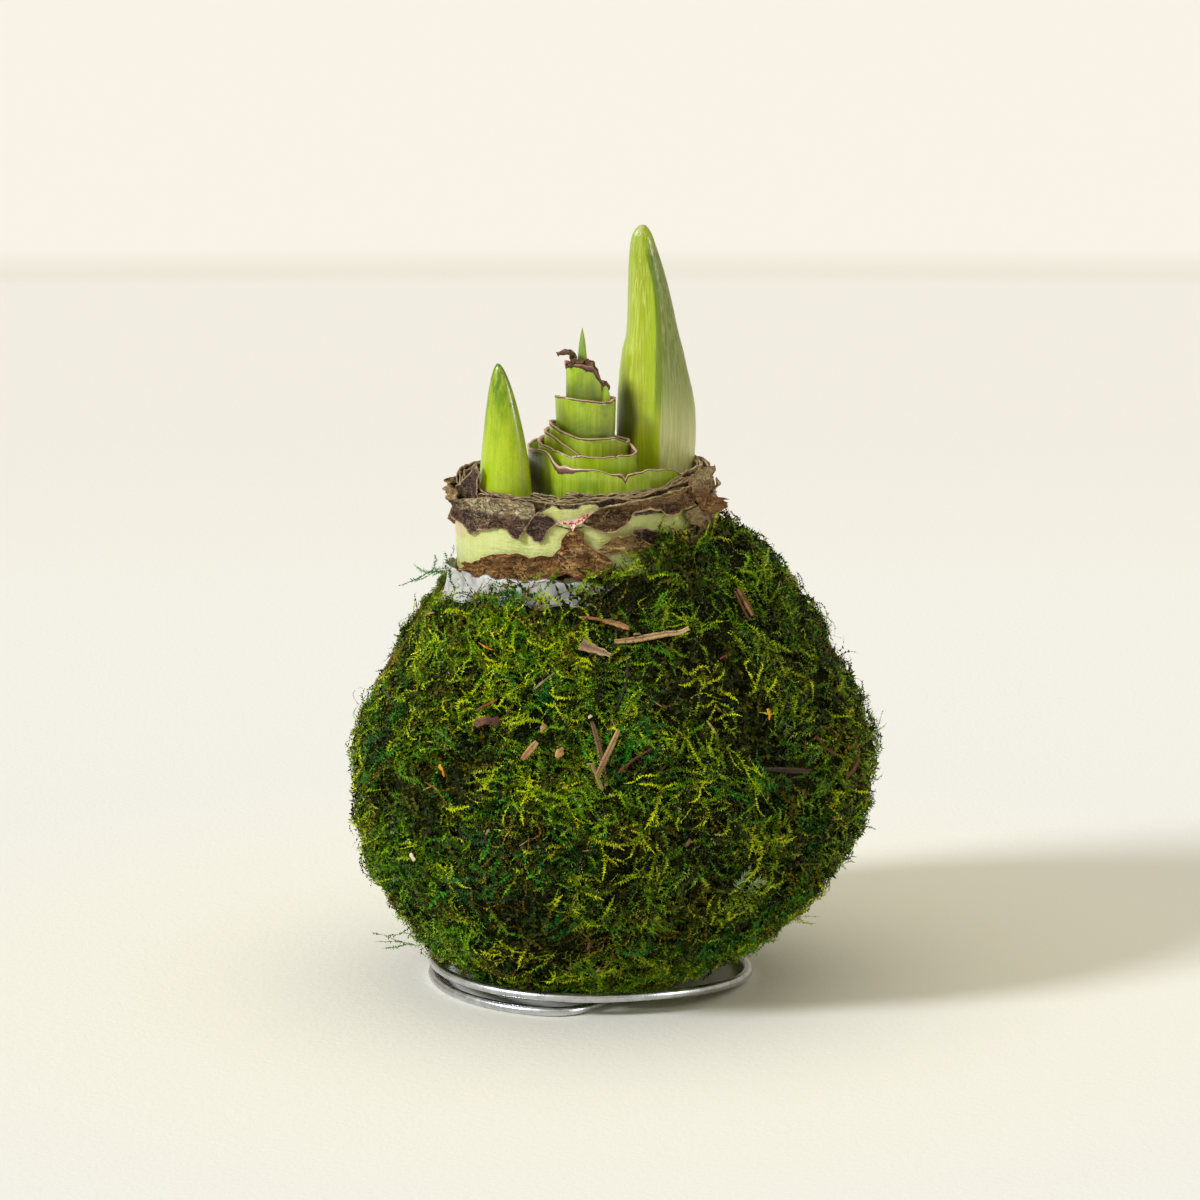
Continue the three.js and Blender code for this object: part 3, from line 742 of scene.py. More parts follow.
def readRing(name, middle, half, start, end, flare=0.0):
    # a wrapped CAD sheet's edges at any turn; middle is measured from the neck's, turns run from start to end
    points = nodePoints(name)
    centre, half = neckMiddle + middle, np.array(half, float)
    across = (points[:, :2] - centre) / half
    turns = np.degrees(np.arctan2(across[:, 1], across[:, 0]))
    share = np.minimum(((turns - start + 2) % 360 - 2) / (end - start), 1)
    at = np.linspace(0, 1, 29)
    near = [points[np.abs(share - k) < 0.04, 2] for k in at]
    return {"centre": centre, "half": half, "start": start, "sweep": end - start, "at": at, "flare": flare,
            "low": np.array([some.min() for some in near]), "high": np.array([some.max() for some in near])}


def wrapSheet(name, ring, look, material, seed):
    # a fine version of a wrapped sheet: torn edges, wrinkles, a rim that rolls out
    share, up = np.linspace(0, 1, look["columns"]), np.linspace(0, 1, look["rows"])
    if look["tornFoot"]:
        up = smooth(up, -0.25, 1.25)
        up = (up - up[0]) / (up[-1] - up[0])
    up = up[:, None]
    degrees = ring["start"] + share * ring["sweep"]
    turn = np.radians(degrees)
    wayOut = np.stack([np.cos(turn), np.sin(turn)], -1)
    track = np.append(wayOut * ring["half"], np.full((len(turn), 1), seed * 7.0), 1)

    def torn(first):
        notch = np.maximum(waves(track, 1.1, first + 3) - 1.1, 0) * look["notch"]
        return waves(track, 1.3, first) * look["fray"] + waves(track, 6, first + 1) * look["tear"] - notch

    low = np.interp(share, ring["at"], ring["low"])
    high = np.interp(share, ring["at"], ring["high"]) + torn(seed)
    if look["tornFoot"]:
        low = low - torn(seed + 20)
    level = low + (high - low) * up
    fromRim, fromFoot = high - level, level - low
    # towards its two ends a torn sheet thins out
    arc = share * math.radians(ring["sweep"]) * ring["half"].mean()
    fromEnd = np.minimum(arc, arc[-1] - arc) + 0 * level
    spot = np.stack(np.broadcast_arrays(track[:, 0], track[:, 1], level), -1)
    out = waves(spot * (1, 1, 0.45), look["wrinkle"], seed + 4) * look["wrinkleDepth"]
    creases = waves(spot * (0.5, 0.5, 1.4), look["wrinkle"] * 0.45, seed + 5)
    out += creases * look["wrinkleDepth"] * look["creases"]
    curl = np.exp(-fromRim / look["curlReach"]) * look["curl"] * (0.55 + 0.45 * waves(track, 3.4, seed + 6))
    out += np.maximum(curl, -0.2) + ring["flare"] * up
    # sharp folds that run round the neck
    fold = 1 - np.minimum(np.abs(waves(spot * (0.4, 0.4, 1.2), look["foldSize"], seed + 8)), 1)
    fold = smooth(fold, 0.35, 1.0) * (0.4 + 0.6 * smooth(waves(spot, 5, seed + 9), -0.6, 0.8))
    out += (fold - 0.2) * look["foldHeight"]
    for key, side in (("outHigh", up), ("outLow", 1 - up)):
        if key in look:  # an edge that stands off the neck, as (turn, millimetres)
            out += fromTable(look[key], degrees) * side ** 1.6
    if look["tornFoot"]:
        footCurl = np.exp(-fromFoot / look["curlReach"]) * look["footCurl"]
        out += np.maximum(footCurl * (0.5 + 0.5 * waves(track, 3, seed + 7)), 0)
        out += np.exp(-fromEnd / 1.2) * look["curl"] * 0.5
    wall = look["wall"] * (look["edgeShare"] + (1 - look["edgeShare"]) * smooth(fromRim, 0, 1.2))
    far = ring["half"] + (out + look["lift"])[..., None]
    grid = np.concatenate([ring["centre"] + far * wayOut, level[..., None]], -1)
    if "shift" in look:  # where the wrap leaves its oval, as (turn, millimetres right, millimetres back)
        for axis in (0, 1):
            grid[..., axis] += fromTable(look["shift"], degrees, axis + 1)
    inside = grid.copy()
    inside[..., :2] -= wall[..., None] * wayOut
    thing = sheetMesh(name, grid, inside, material)
    nearest = np.minimum(np.minimum(fromRim, fromFoot), fromEnd) if look["tornFoot"] else fromRim
    dried = look["rimWidth"] * (1 + look.get("rimVary", 0) * waves(track, 3.2, seed + 11))
    if "wide" in look:  # places where it has dried further down, as (turn, millimetres)
        dried = dried + fromTable(look["wide"], degrees)
    rim = np.clip(1 - nearest / np.maximum(dried, 0.2), 0, 1)
    paint(thing, "rim", np.append(rim, np.maximum(rim, look.get("backRim", 0))))
    paint(thing, "up", np.tile(((level - level.min()) / np.ptp(level)).ravel(), 2))
    # the crests of the folds, which the paper paints paler as a highlight
    paint(thing, "ridge", np.tile(fold.ravel(), 2))
    if "shadeOver" in look:  # how far below its rim, as a share of these millimetres, for the painted shade down between the leaves
        paint(thing, "depth", np.tile(np.clip(fromRim / look["shadeOver"], 0, 1).ravel(), 2))
    if "castShadow" in look:  # painted shadow where the short shoot shades this leaf, over some brown fibres: dark all the way up, as (turn, share)
        uneven = np.clip(1 + 0.5 * waves(spot * (1, 1, 0.3), 2.0, seed + 17), 0, 1)
        shadowPaint = fromTable(look["castShadow"], degrees) * uneven
        paint(thing, "castShadow", np.tile(shadowPaint.ravel(), 2))
    return thing


leafBaseLook = {"columns": 190, "rows": 18, "fray": 0.05, "tear": 0.14, "notch": 0.35, "tornFoot": False,
                "wrinkle": 5, "wrinkleDepth": 0.14, "creases": 0.3, "curl": 0.25, "curlReach": 0.5,
                "footCurl": 0, "foldSize": 5, "foldHeight": 0.0, "edgeShare": 0.8, "wall": 0.55,
                "lift": 0.4, "rimWidth": 0.55, "rimVary": 0.45, "backRim": 0.3}
leafBaseTissue = {"roughness": 0.36, "sharpness": 0.1, "fineShare": 0.4, "tipFrom": 0.0, "lineShare": 0.5,
                  "bruiseShare": 0.55, "shadeShare": 0.6, "dryReach": 0.6, "bump": 0.3, "coat": 0.45,
                  "low": colour(140, 166, 8), "high": colour(162, 190, 14), "line": colour(198, 214, 78),
                  # shade and the last colour here: painted shade down between the leaves, and the painted
                  # shadow at the first one's left end
                  "bruise": colour(112, 146, 0), "shade": colour(58, 70, 14), "castShadow": colour(26, 22, 8),
                  "crust": colour(206, 172, 142), "crustMid": colour(118, 74, 54),
                  "crustDark": colour(62, 36, 28)}
# place: middle from the neck's, half width and depth, first and last turn, flare
# rim: what the front of its edge does, as (turn, height)
leafRings = (
    {"place": ((6.3, 1.8), (17.4, 18.8), -259, 99, 0.0), "shadeOver": 9,
     "wide": ((-143, 0.1), (-138, 1.0), (-132, 2.0), (-126, 2.4), (-119, 1.4), (-112, 0.4), (-106, 0),
              (-89, 0), (-84, 1.6), (-79, 0.5), (-74, 0)),
     # the painted shadow at its left end, as (turn, share)
     "castShadow": ((-196, 0), (-184, 0.4), (-174, 1), (-160, 1), (-148, 0.8), (-141, 0.3), (-134, 0)),
     "rim": ((-160, 112.6), (-148, 113), (-142.5, 112.9), (-138.3, 112.4), (-135, 111.2), (-130, 110.1),
             (-125.7, 110.5), (-118.3, 110.1), (-112.4, 110.2), (-104.9, 110.4), (-97.7, 110.2),
             (-92.4, 109.5), (-86.2, 109.5), (-84.3, 109.3), (-82.6, 108.1), (-81.2, 109.4), (-70.8, 109.7),
             (-68.9, 110.2), (-54.8, 110), (-47.9, 109.5), (-41.4, 108.4), (-19.4, 108.8), (-8, 108.2))},
    {"place": ((4.2, -1.8), (13.15, 10.55), -228, -14, 0.0), "shadeOver": 7, "backRim": 0.72,
     "shift": ((-80, 0, 0), (-62, -0.5, 0.2), (-50, -2.3, 0.6), (-40, -3.9, 1.2), (-30, -5.5, 1.7),
               (-22, -6.8, 2.3), (-14, -8.1, 2.8)),
     "wide": ((-60, 0), (-46, 0.5), (-30, 0.9), (-14, 0.9)),
     "rim": ((-180, 114), (-170.6, 113.9), (-145, 113.6), (-130.8, 112.7), (-120.3, 111.9), (-110.3, 112.2),
             (-100.7, 111.9), (-91.2, 111.8), (-77.1, 112.4), (-66.3, 112.6), (-56, 112.8), (-44, 112.7),
             (-32, 112.7), (-14, 113.3))},
    {"place": ((2.0, -1.6), (9.6, 7.2), -269, 89, 0.0), "shadeOver": 6, "rimWidth": 0.45,
     "outHigh": ((-80, 0), (-50, -0.7), (-20, -1.7), (20, -1.7), (60, 0)),
     "rim": ((-178, 116), (-150, 115.7), (-138, 114.9), (-125, 113.9), (-112, 112.6), (-100, 111.2),
             (-90, 110.8), (-64, 110.6))},
    {"place": ((1.2, -1.5), (7.8, 5.6), -268, 88, 0.0), "shadeOver": 8,
     "rim": ((-165, 117.2), (-144.7, 116.8), (-123, 115.9), (-105.9, 115), (-90.3, 114.9), (-71, 115.1),
             (-49, 115.1), (-38, 114.4))},
    {"place": ((0.5, -1.4), (5.0, 3.6), -264, 84, 0.9), "shadeOver": 9, "rimWidth": 0.38,
     "rim": ((-174.7, 123.2), (-155, 123.3), (-137, 123.5), (-102, 123.1), (-81, 122.7), (-58.2, 122.3),
             (-34.5, 122.2))},
    {"place": ((0.2, -1.3), (3.2, 2.1), -262, 82, 0.3), "shadeOver": 6,
     "rim": ((-169.5, 129.2), (-142, 129.9), (-120.8, 130.3), (-97.2, 129.8), (-81.4, 129.3),
             (-64.9, 129.4), (-49.9, 127.9), (-30.1, 126))},
)


def makeLeafBases():
    old = leafMaterial("leafBaseTissue", leafBaseTissue)
    young = leafMaterial("leafBaseYoung", {
        **leafBaseTissue, "low": colour(136, 168, 8), "high": colour(158, 190, 20),
        "crust": colour(178, 130, 98), "dryReach": 0.75})
    fade = 15  # degrees over which the front of a rim passes into the node's own
    for number, place in enumerate(leafRings, start=1):
        node = f"leaf_base_{number}"
        ring = readRing(node, *place["place"])
        turns = ring["start"] + ring["at"] * ring["sweep"]
        at = np.linspace(0, 1, 200)
        fine = ring["start"] + at * ring["sweep"]
        first, last = place["rim"][0][0], place["rim"][-1][0]
        plain = np.interp(fine, turns, ring["high"])
        front = within(fine, first - fade, first, last, last + fade)
        high = plain + (fromTable(place["rim"], fine) - plain) * front
        ring.update(high=high, low=np.interp(fine, turns, ring["low"]), at=at)
        look = dict(leafBaseLook)
        if number >= 3:
            look.update(columns=120, wall=0.7, curl=0.3, wrinkleDepth=0.1)
        if number >= 5:
            look.update(columns=110, rows=26, wall=0.65, notch=0.5)
        if number == 6:
            look.update(fray=0.2, tear=0.3, curl=0.6, rimWidth=1.1, wall=0.5)
        look.update({key: value for key, value in place.items() if key not in ("place", "rim")})
        thing = wrapSheet(f"leafBase{number}", ring, look, young if number == 6 else old, seed=20 + number)
        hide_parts(node)


paperLooks = {
    "ring": {"mid": colour(96, 70, 42), "pale": colour(150, 122, 80), "fibre": colour(186, 156, 106),
             "dark": colour(26, 16, 8), "edge": colour(208, 182, 134), "darkCover": 0.5, "paleFrom": 0.7},
    "upperLeft": {"mid": colour(86, 60, 48), "pale": colour(226, 208, 158), "fibre": colour(156, 116, 80),
                  "dark": colour(34, 20, 18), "edge": colour(206, 164, 128), "darkCover": 0.36,
                  "paleFrom": 0.5},
    "small": {"mid": colour(72, 50, 42), "pale": colour(170, 144, 106), "fibre": colour(128, 98, 78),
              "dark": colour(28, 18, 16), "edge": colour(214, 176, 140), "darkCover": 0.46,
              "paleFrom": 0.7},
    "upperRight": {"mid": colour(118, 84, 48), "pale": colour(172, 136, 90), "fibre": colour(190, 156, 106),
                   "dark": colour(44, 28, 18), "edge": colour(222, 194, 146), "darkCover": 0.4,
                   "paleFrom": 0.5},
    "flap": {"mid": colour(190, 154, 102), "pale": colour(206, 180, 128), "fibre": colour(220, 194, 140),
             "lined": 0.4, "dark": colour(118, 84, 52), "edge": colour(172, 130, 84), "darkCover": 0.26,
             "paleFrom": 0.4},
    "fold": {"mid": colour(170, 124, 74), "pale": colour(222, 196, 152), "fibre": colour(212, 170, 116),
             "lined": 0.6, "dark": colour(98, 62, 36), "edge": colour(160, 112, 66), "darkCover": 0.26,
             "paleFrom": 0.85},
    "lower": {"mid": colour(140, 98, 48), "pale": colour(190, 148, 88), "fibre": colour(222, 174, 106),
              "dark": colour(44, 26, 12), "edge": colour(158, 76, 48), "darkCover": 0.34, "paleFrom": 0.6},
    "folds": {"mid": colour(142, 102, 56), "pale": colour(190, 154, 94), "fibre": colour(212, 174, 118),
              "dark": colour(54, 34, 18), "edge": colour(214, 180, 130), "darkCover": 0.36,
              "paleFrom": 0.4},
    # hollow: near-black paper for sheets of painted shade under the lower front scale
    "hollow": {"mid": colour(40, 26, 22), "pale": colour(58, 40, 32), "fibre": colour(70, 50, 40),
               "dark": colour(20, 12, 10), "edge": colour(120, 84, 62), "darkCover": 0.5, "paleFrom": 0.9},
}
paperSheetLook = {"columns": 150, "rows": 22, "fray": 0.09, "tear": 0.0, "notch": 0.35, "tornFoot": True,
                  "wrinkle": 3.2, "wrinkleDepth": 0.18, "creases": 1.1, "curl": 0.6, "curlReach": 0.6,
                  "footCurl": 0.7, "wall": 0.3, "lift": 0.0, "rimWidth": 0.75, "edgeShare": 0.4,
                  "foldSize": 1.9, "foldHeight": 0.62}
# each scale: the node it stands for, its paper, how far out it lies, its two edges as (turn, height)
neckScales = {
    "scaleUpperLeft": {
        "node": "neck_scale_upper_left", "paper": "upperLeft", "radius": 26.75, "curl": 0.8,
        "high": ((-176, 102), (-168, 102.4), (-156.5, 103.2), (-148.6, 104), (-134.3, 105.1), (-124, 105.3),
                 (-118, 105.3), (-113.3, 105.1), (-111, 104.8)),
        "low": ((-176, 100.2), (-167.4, 98.3), (-155.5, 98.1), (-150.5, 96.6), (-147.1, 96.4),
                (-142.4, 97.8), (-137.6, 98.1), (-132.6, 98.7), (-128.6, 98.9), (-124.8, 98.7),
                (-122.7, 98), (-120.2, 97.5), (-118.4, 97.1), (-117.7, 98), (-115.3, 99.7), (-113.4, 101.2),
                (-111.5, 102.1), (-111, 103.3))},
    "scaleSmall": {
        "node": "neck_scale_small", "paper": "small", "radius": 26.6, "columns": 70,
        "high": ((-115.7, 99.3), (-113.4, 101.2), (-111.5, 102.3), (-109.6, 103.2), (-108.7, 103.4),
                 (-107.4, 102.6), (-105.2, 102.8), (-103.4, 102.1), (-100.3, 101.1)),
        "low": ((-115.7, 99.1), (-113.8, 97.9), (-111.1, 97), (-108.3, 96.8), (-107, 97.9), (-105.2, 99.4),
                (-102.5, 100.5), (-100.3, 101))},
    "scaleUpperRight": {
        "node": "neck_scale_upper_right", "paper": "upperRight", "radius": 26.8, "footCurl": 1.0,
        "rimWidth": 1.0,
        "high": ((-90.4, 101.2), (-88.3, 103.1), (-82.7, 104.5), (-77.5, 104.8), (-71.8, 105.3),
                 (-64.8, 105.7), (-57.5, 106), (-49.4, 106.4), (-40.1, 106.8), (-33.5, 107)),
        "low": ((-90.4, 100.9), (-86.2, 100), (-82.7, 99.4), (-80.6, 98.9), (-76.2, 99.2), (-71.8, 100.2),
                (-69.5, 100.9), (-68.6, 102.1), (-66.3, 103), (-60, 103.2), (-54.9, 102.8), (-51.1, 101.5),
                (-46.4, 101.5), (-40.7, 102.3), (-35, 102.4), (-30.9, 102.5))},
    "scaleRightFlap": {
        "node": "neck_scale_right_flap", "paper": "flap", "radius": 27.1, "curl": 0.5, "footCurl": 0.9,
        "wrinkleDepth": 0.26,
        "high": ((-41, 101.4), (-36.5, 102.6), (-30, 103.2), (-22, 103.6), (-14, 104.2), (-6, 105),
                 (4, 105.4)),
        "low": ((-41, 101), (-37, 99), (-33, 98.4), (-29, 96.4), (-25, 97), (-21, 95.2), (-17, 94.6),
                (-12, 93.2), (-7, 92.4), (-2, 93.8), (4, 95))},
    "scaleFlapTop": {"paper": "flap", "radius": 26.5, "columns": 90, "curl": 0.5,
                     "high": ((-37, 108), (-33, 109.2), (-26, 109.9), (-19, 109.6), (-12, 109),
                              (-3, 108.6)),
                     "low": ((-37, 104.8), (-33, 104), (-26, 103.4), (-19, 103), (-12, 103.2), (-3, 105))},
    "scaleFlapFold": {"paper": "fold", "radius": 27.3, "columns": 60, "curl": 0.5, "footCurl": 0.9,
                      "rimWidth": 1.4, "outLow": ((-36, 0), (-25, 1.0), (-15, 2.6)),
                      "outHigh": ((-36, 0), (-25, 0.5), (-15, 2.2)),
                      "high": ((-37, 106.2), (-33, 105.6), (-28, 104.8), (-21, 103.6), (-15, 102.8)),
                      "low": ((-37, 105.6), (-34, 103.4), (-30, 101.4), (-25, 100.2), (-19, 100.6),
                              (-15, 102))},
    "scaleKnot": {"paper": "flap", "radius": 27.1, "columns": 80, "curl": 1.3, "footCurl": 1.3,
                  "wrinkleDepth": 0.5, "foldHeight": 0.9, "foldSize": 1.2,
                  "high": ((-196, 104.6), (-186, 105.2), (-176, 105.4), (-168, 104.8), (-160, 104.6),
                           (-150, 104.4)),
                  "low": ((-196, 103.2), (-186, 102.2), (-176, 101.6), (-168, 102), (-160, 102.8),
                          (-150, 103.8))},
    "scaleHorn": {
        "paper": "small", "radius": 26.2, "columns": 60, "curl": 0.3, "footCurl": 0.1,
        "outHigh": ((-172, 0.0), (-146, -0.8)),
        "high": ((-172, 104.8), (-164, 105.6), (-157, 107.4), (-151, 109.6), (-147.5, 111.2),
                 (-145, 109.4)),
        "low": ((-172, 103.4), (-164, 103.2), (-157, 103), (-151, 103), (-145, 103.2))},
    "scaleLowerFront": {
        "node": "neck_scale_lower_front", "paper": "lower", "radius": 27.15, "wrinkleDepth": 0.34,
        "columns": 190, "wrinkle": 2.4, "foldHeight": 0.8,
        "high": ((-152, 90.2), (-150.7, 90.8), (-145.6, 90.9), (-141.1, 91.7), (-136.4, 92.7),
                 (-131.5, 93.6), (-125.9, 93.9), (-119.2, 94.4), (-117.2, 94.3), (-115.3, 94),
                 (-113.4, 93.6), (-110.2, 94.2), (-106.5, 94.5), (-104.7, 94.3), (-103, 94.4),
                 (-101.2, 95.4), (-99, 96.3), (-96.5, 97.1), (-93.4, 97.5), (-90.5, 97.6), (-88.3, 96.9),
                 (-85.7, 95.9), (-82.7, 95.1), (-80.1, 94.4), (-78, 93.6), (-76.2, 91.9), (-74.9, 91)),
        "low": ((-152, 88.8), (-147.2, 88.1), (-141.1, 88.2), (-134.5, 88.5), (-128.7, 88.8),
                (-125.9, 88.3), (-124.3, 87.6), (-121.7, 88.4), (-118.2, 88.5), (-113.4, 88.9),
                (-110.6, 88.6), (-106.6, 89.1), (-104.3, 89.8), (-99.9, 90.5), (-96.9, 90.8), (-93.5, 90.2),
                (-89.2, 90.2), (-84.9, 90.6), (-80.6, 90.7), (-77.1, 90.9), (-74.9, 90.8))},
    "scaleLowerRight": {
        "node": "neck_scale_lower_right", "paper": "folds", "radius": 26.95, "footCurl": 0.3, "curl": 1.0,
        "wrinkleDepth": 0.3,
        "high": ((-84, 95.7), (-81.9, 96.7), (-78.4, 97.9), (-75.3, 98.4), (-71.8, 98.5), (-68.1, 98.8),
                 (-64.8, 97.9), (-61.4, 96.5), (-58.4, 96.2), (-54.8, 96.6), (-49.3, 96.9), (-43.3, 96.5),
                 (-37.9, 96.4), (-24, 96)),
        "low": ((-84, 95.5), (-81, 94.6), (-77.5, 94.4), (-74, 94.9), (-70.4, 94.8), (-66.7, 94.1),
                (-62.4, 93.1), (-57.4, 92.8), (-50.4, 92.9), (-43.3, 93), (-37.9, 92), (-24, 90.5))},
    "scaleBack": {
        "node": "neck_scale_back", "paper": "lower", "columns": 112, "radius": 27.05, "wrinkleDepth": 0.24,
        "high": ((14, 105.4), (22, 106), (34, 105.8), (46, 106.2), (55, 105.2), (64, 105.8), (77, 105),
                 (86, 105.4), (96, 104.4)),
        "low": ((14, 97), (20, 95), (26, 94.6), (33, 92), (40, 92.6), (47, 90.8), (54, 91), (60, 93.2),
                (68, 93), (75, 95.4), (82, 95), (89, 94), (96, 95.4))},
    "scaleBackLeft": {
        "node": "neck_scale_back_left", "paper": "upperLeft", "columns": 112, "radius": 26.75,
        "high": ((100, 103.4), (112, 104.6), (124, 104.4), (136, 105), (146, 104.2), (158, 104.6),
                 (170, 104), (182, 103.6)),
        "low": ((100, 93.4), (108, 91.6), (116, 89.4), (123, 90.4), (130, 88.2), (138, 89), (146, 91.8),
                (155, 92.4), (163, 95.6), (172, 95.2), (182, 98))},
    "scaleFibres": {"paper": "lower", "radius": 26.4, "columns": 50,
                    "high": ((-99.4, 97.7), (-97.3, 98.9), (-94.7, 99.6), (-92.2, 99.8), (-89.6, 99.2)),
                    "low": ((-99.4, 95.6), (-96.5, 96.3), (-93.9, 96.8), (-91.3, 97.1), (-89.6, 97))},
    "scaleDark": {
        "paper": "small", "radius": 26.45, "columns": 90, "curl": 0.4,
        "high": ((-68.6, 99.2), (-66.7, 99.7), (-62.4, 99.6), (-57.4, 98.8), (-52.1, 98.2), (-46.4, 98.5),
                 (-40.7, 97.9), (-30, 98.4)),
        "low": ((-68.6, 98.4), (-66.2, 97.2), (-63.4, 96), (-60.9, 95.6), (-58.4, 95.4), (-54.8, 95.6),
                (-50.5, 96), (-44.6, 96), (-30, 96.2))},
    # two near-black sheets of painted shade in the gap under the lower front scale's foot
    "hollowLeft": {"paper": "hollow", "radius": 26.5, "columns": 40, "curl": 0.1, "footCurl": 0.1,
                   "high": ((-104.4, 89.9), (-100.8, 91.4), (-97.8, 91.6), (-95.2, 91), (-92.4, 90.3)),
                   "low": ((-104.4, 89), (-100.8, 88.9), (-97.8, 89.3), (-95.2, 89.8), (-92.4, 90.1))},
    "hollowRight": {"paper": "hollow", "radius": 26.5, "columns": 40, "curl": 0.1, "footCurl": 0.1,
                    "high": ((-88, 91.2), (-82.7, 91.6), (-78.4, 91.4), (-74, 90.8)),
                    "low": ((-88, 89.9), (-82.7, 89.1), (-78.4, 89.3), (-74, 90.2))},
    "scaleLowest": {"paper": "folds", "radius": 26.6, "columns": 50,
                    "high": ((-78.5, 90.3), (-74, 90), (-70.4, 89.6), (-66.7, 90), (-62, 91.4)),
                    "low": ((-78.5, 89.2), (-74, 88.6), (-70.4, 88), (-66.7, 88), (-62, 88.6))},
}
fleshLip = {
    "radius": 26.45,
    "columns": 110,
    "curl": 0.3,
    "footCurl": 0.0,
    "wrinkleDepth": 0.08,
    "foldHeight": 0.0,
    "rimWidth": 0.5,
    "outLow": ((-112, -0.5), (-84, -0.5)),
    "creases": 0.4,
    "high": ((-111, 102.9), (-107.7, 103.7), (-103.4, 104.7), (-101.6, 104.4), (-99.9, 103.9),
             (-98.2, 104.3), (-94.3, 104.1), (-92.3, 104.1), (-90.4, 105.1), (-87, 105.3), (-83.6, 104.9),
             (-80, 103.2)),
    "low": ((-111, 101.6), (-96, 99.6), (-80, 101)),
}
pinkLip = {
    "radius": 26.95,
    "columns": 70,
    "curl": 0.9,
    "footCurl": 0.5,
    "high": ((-101.4, 101.2), (-99, 101.7), (-95.6, 101.9), (-93, 102.3), (-90, 103), (-87, 103.6),
             (-85, 104)),
    "low": ((-101.4, 101), (-98.6, 100.8), (-96, 100.8), (-95.2, 100.3), (-94.3, 99.5), (-93.2, 100.6),
            (-90, 101.7), (-87.9, 102.6), (-85, 103.8)),
    "flesh": colour(236, 214, 196),
    "spot": colour(196, 24, 52),
    "edge": colour(214, 176, 150),
}
paperRings = {  # node: middle from the neck's, half width and depth, first and last turn, layers
    "papery_ring_1": ((0, 0), (25.1, 25.1), -266, 86, (0.9, 0.3, -0.3, -0.9, -1.5)),
    "papery_ring_2": ((1.6, 0.2), (22.4, 23.3), -122, -24, (1.3, 0.7, 0.1, -0.5, -1.1)),
    "papery_ring_3": ((3.8, 0.6), (20.3, 21.1), -112, -42, (0.9, 0.3, -0.3, -0.9)),
}
layerDrops = (0.15, 0.0, 0.3, 0.1, 0.6)  # how far below its node's rim each layer ends, from the outermost
layerRises = (0.35, 0.6, 0.8, 0.95, 1.1)  # its share of the first ring's rise at the right
paperRingLook = {**paperSheetLook, "rows": 5, "columns": 120, "tornFoot": False, "wall": 0.26, "fray": 0.14,
                 "tear": 0.38, "notch": 0.7, "wrinkleDepth": 0.22, "creases": 0.4, "curl": 0.3,
                 "curlReach": 0.4, "rimWidth": 0.6, "wrinkle": 5, "edgeShare": 0.8, "foldHeight": 0.15}


def edgeRing(look):
    # the same as readRing gives, from a look's own edges
    start, end = look["high"][0][0], look["high"][-1][0]
    at = np.linspace(0, 1, 160)
    turns = start + at * (end - start)
    low, high = fromTable(look["low"], turns), fromTable(look["high"], turns)
    return {"centre": neckMiddle, "half": np.full(2, look["radius"]), "start": start, "sweep": end - start,
            "at": at, "low": low, "high": high, "flare": 0.0}


def lipMaterial():
    # torn pink flesh with the red spots that amaryllis scales get
    material, tree, shader = newMaterial("pinkLip", Subsurface_Weight=0.1, Subsurface_Scale=0.001)
    spots = spread(tree, noiseNode(tree, 0.75, detail=2, rough=0.5), 0.52, 0.6)
    body = mixColour(tree, spots, pinkLip["flesh"], pinkLip["spot"])
    edge = placeGroup(tree, driedRim, Reach=0.2, Raggedness=0.5)
    feed(tree, shader.inputs["Base Color"], mixColour(tree, edge.outputs["Mask"], body, pinkLip["edge"]))
    addBump(tree, shader, noiseNode(tree, 0.5, detail=4), 0.15)
    return material


def makeNeckScales(papers):
    for seed, (piece, look) in enumerate(neckScales.items()):
        look = {**paperSheetLook, **look}
        thing = wrapSheet(piece, edgeRing(look), look, papers[look["paper"]], seed=50 + 9 * seed)
        if "node" in look:
            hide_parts(look["node"])


def makeLips():
    look = {**paperSheetLook, **fleshLip}
    flesh = wrapSheet("fleshLip", edgeRing(look), look, bpy.data.materials["neckFlesh"], seed=7)
    look = {**paperSheetLook, **pinkLip}
    lip = wrapSheet("pinkLip", edgeRing(look), look, lipMaterial(), seed=9)


def makePaperRings(paper):
    past = 7  # degrees by which the first ring's ends pass each other at the back
    for number, (node, (middle, half, start, end, lifts)) in enumerate(paperRings.items()):
        ring = readRing(node, middle, half, start, end)
        look = dict(paperRingLook)
        if number == 0:
            ring.update(start=start - past, sweep=end - start + 2 * past)
            apart = ((start - past, -0.15), (start + 25, 0), (end - 25, 0), (end + past, 0.15))
            look.update(columns=200, outLow=apart, outHigh=apart)
        turns = ring["start"] + ring["at"] * ring["sweep"]
        for layer, lift in enumerate(lifts):
            high = ring["high"] - layerDrops[layer] + 0.28 * np.sin(np.radians(turns) * 3.1 + layer * 2.3)
            if number == 0:
                raised = within(turns, -64, -34, 20, 60) * (1 - 0.4 * smooth(turns, -26, 0))
                high += 2.4 * raised * layerRises[layer]
            thing = wrapSheet(f"paperLayer{number + 1}{'abcde'[layer]}", {**ring, "high": high},
                              {**look, "lift": lift}, paper, seed=140 + 11 * number + 3 * layer)
            if layer == 0:
                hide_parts(node)


makeLeafBases()
papers = {key: paperMaterial("paper" + key[0].upper() + key[1:], look) for key, look in paperLooks.items()}
makeNeckScales(papers)
makeLips()
makePaperRings(papers["ring"])
print("amaryllis: leaf bases and dry scales made")


# shoots

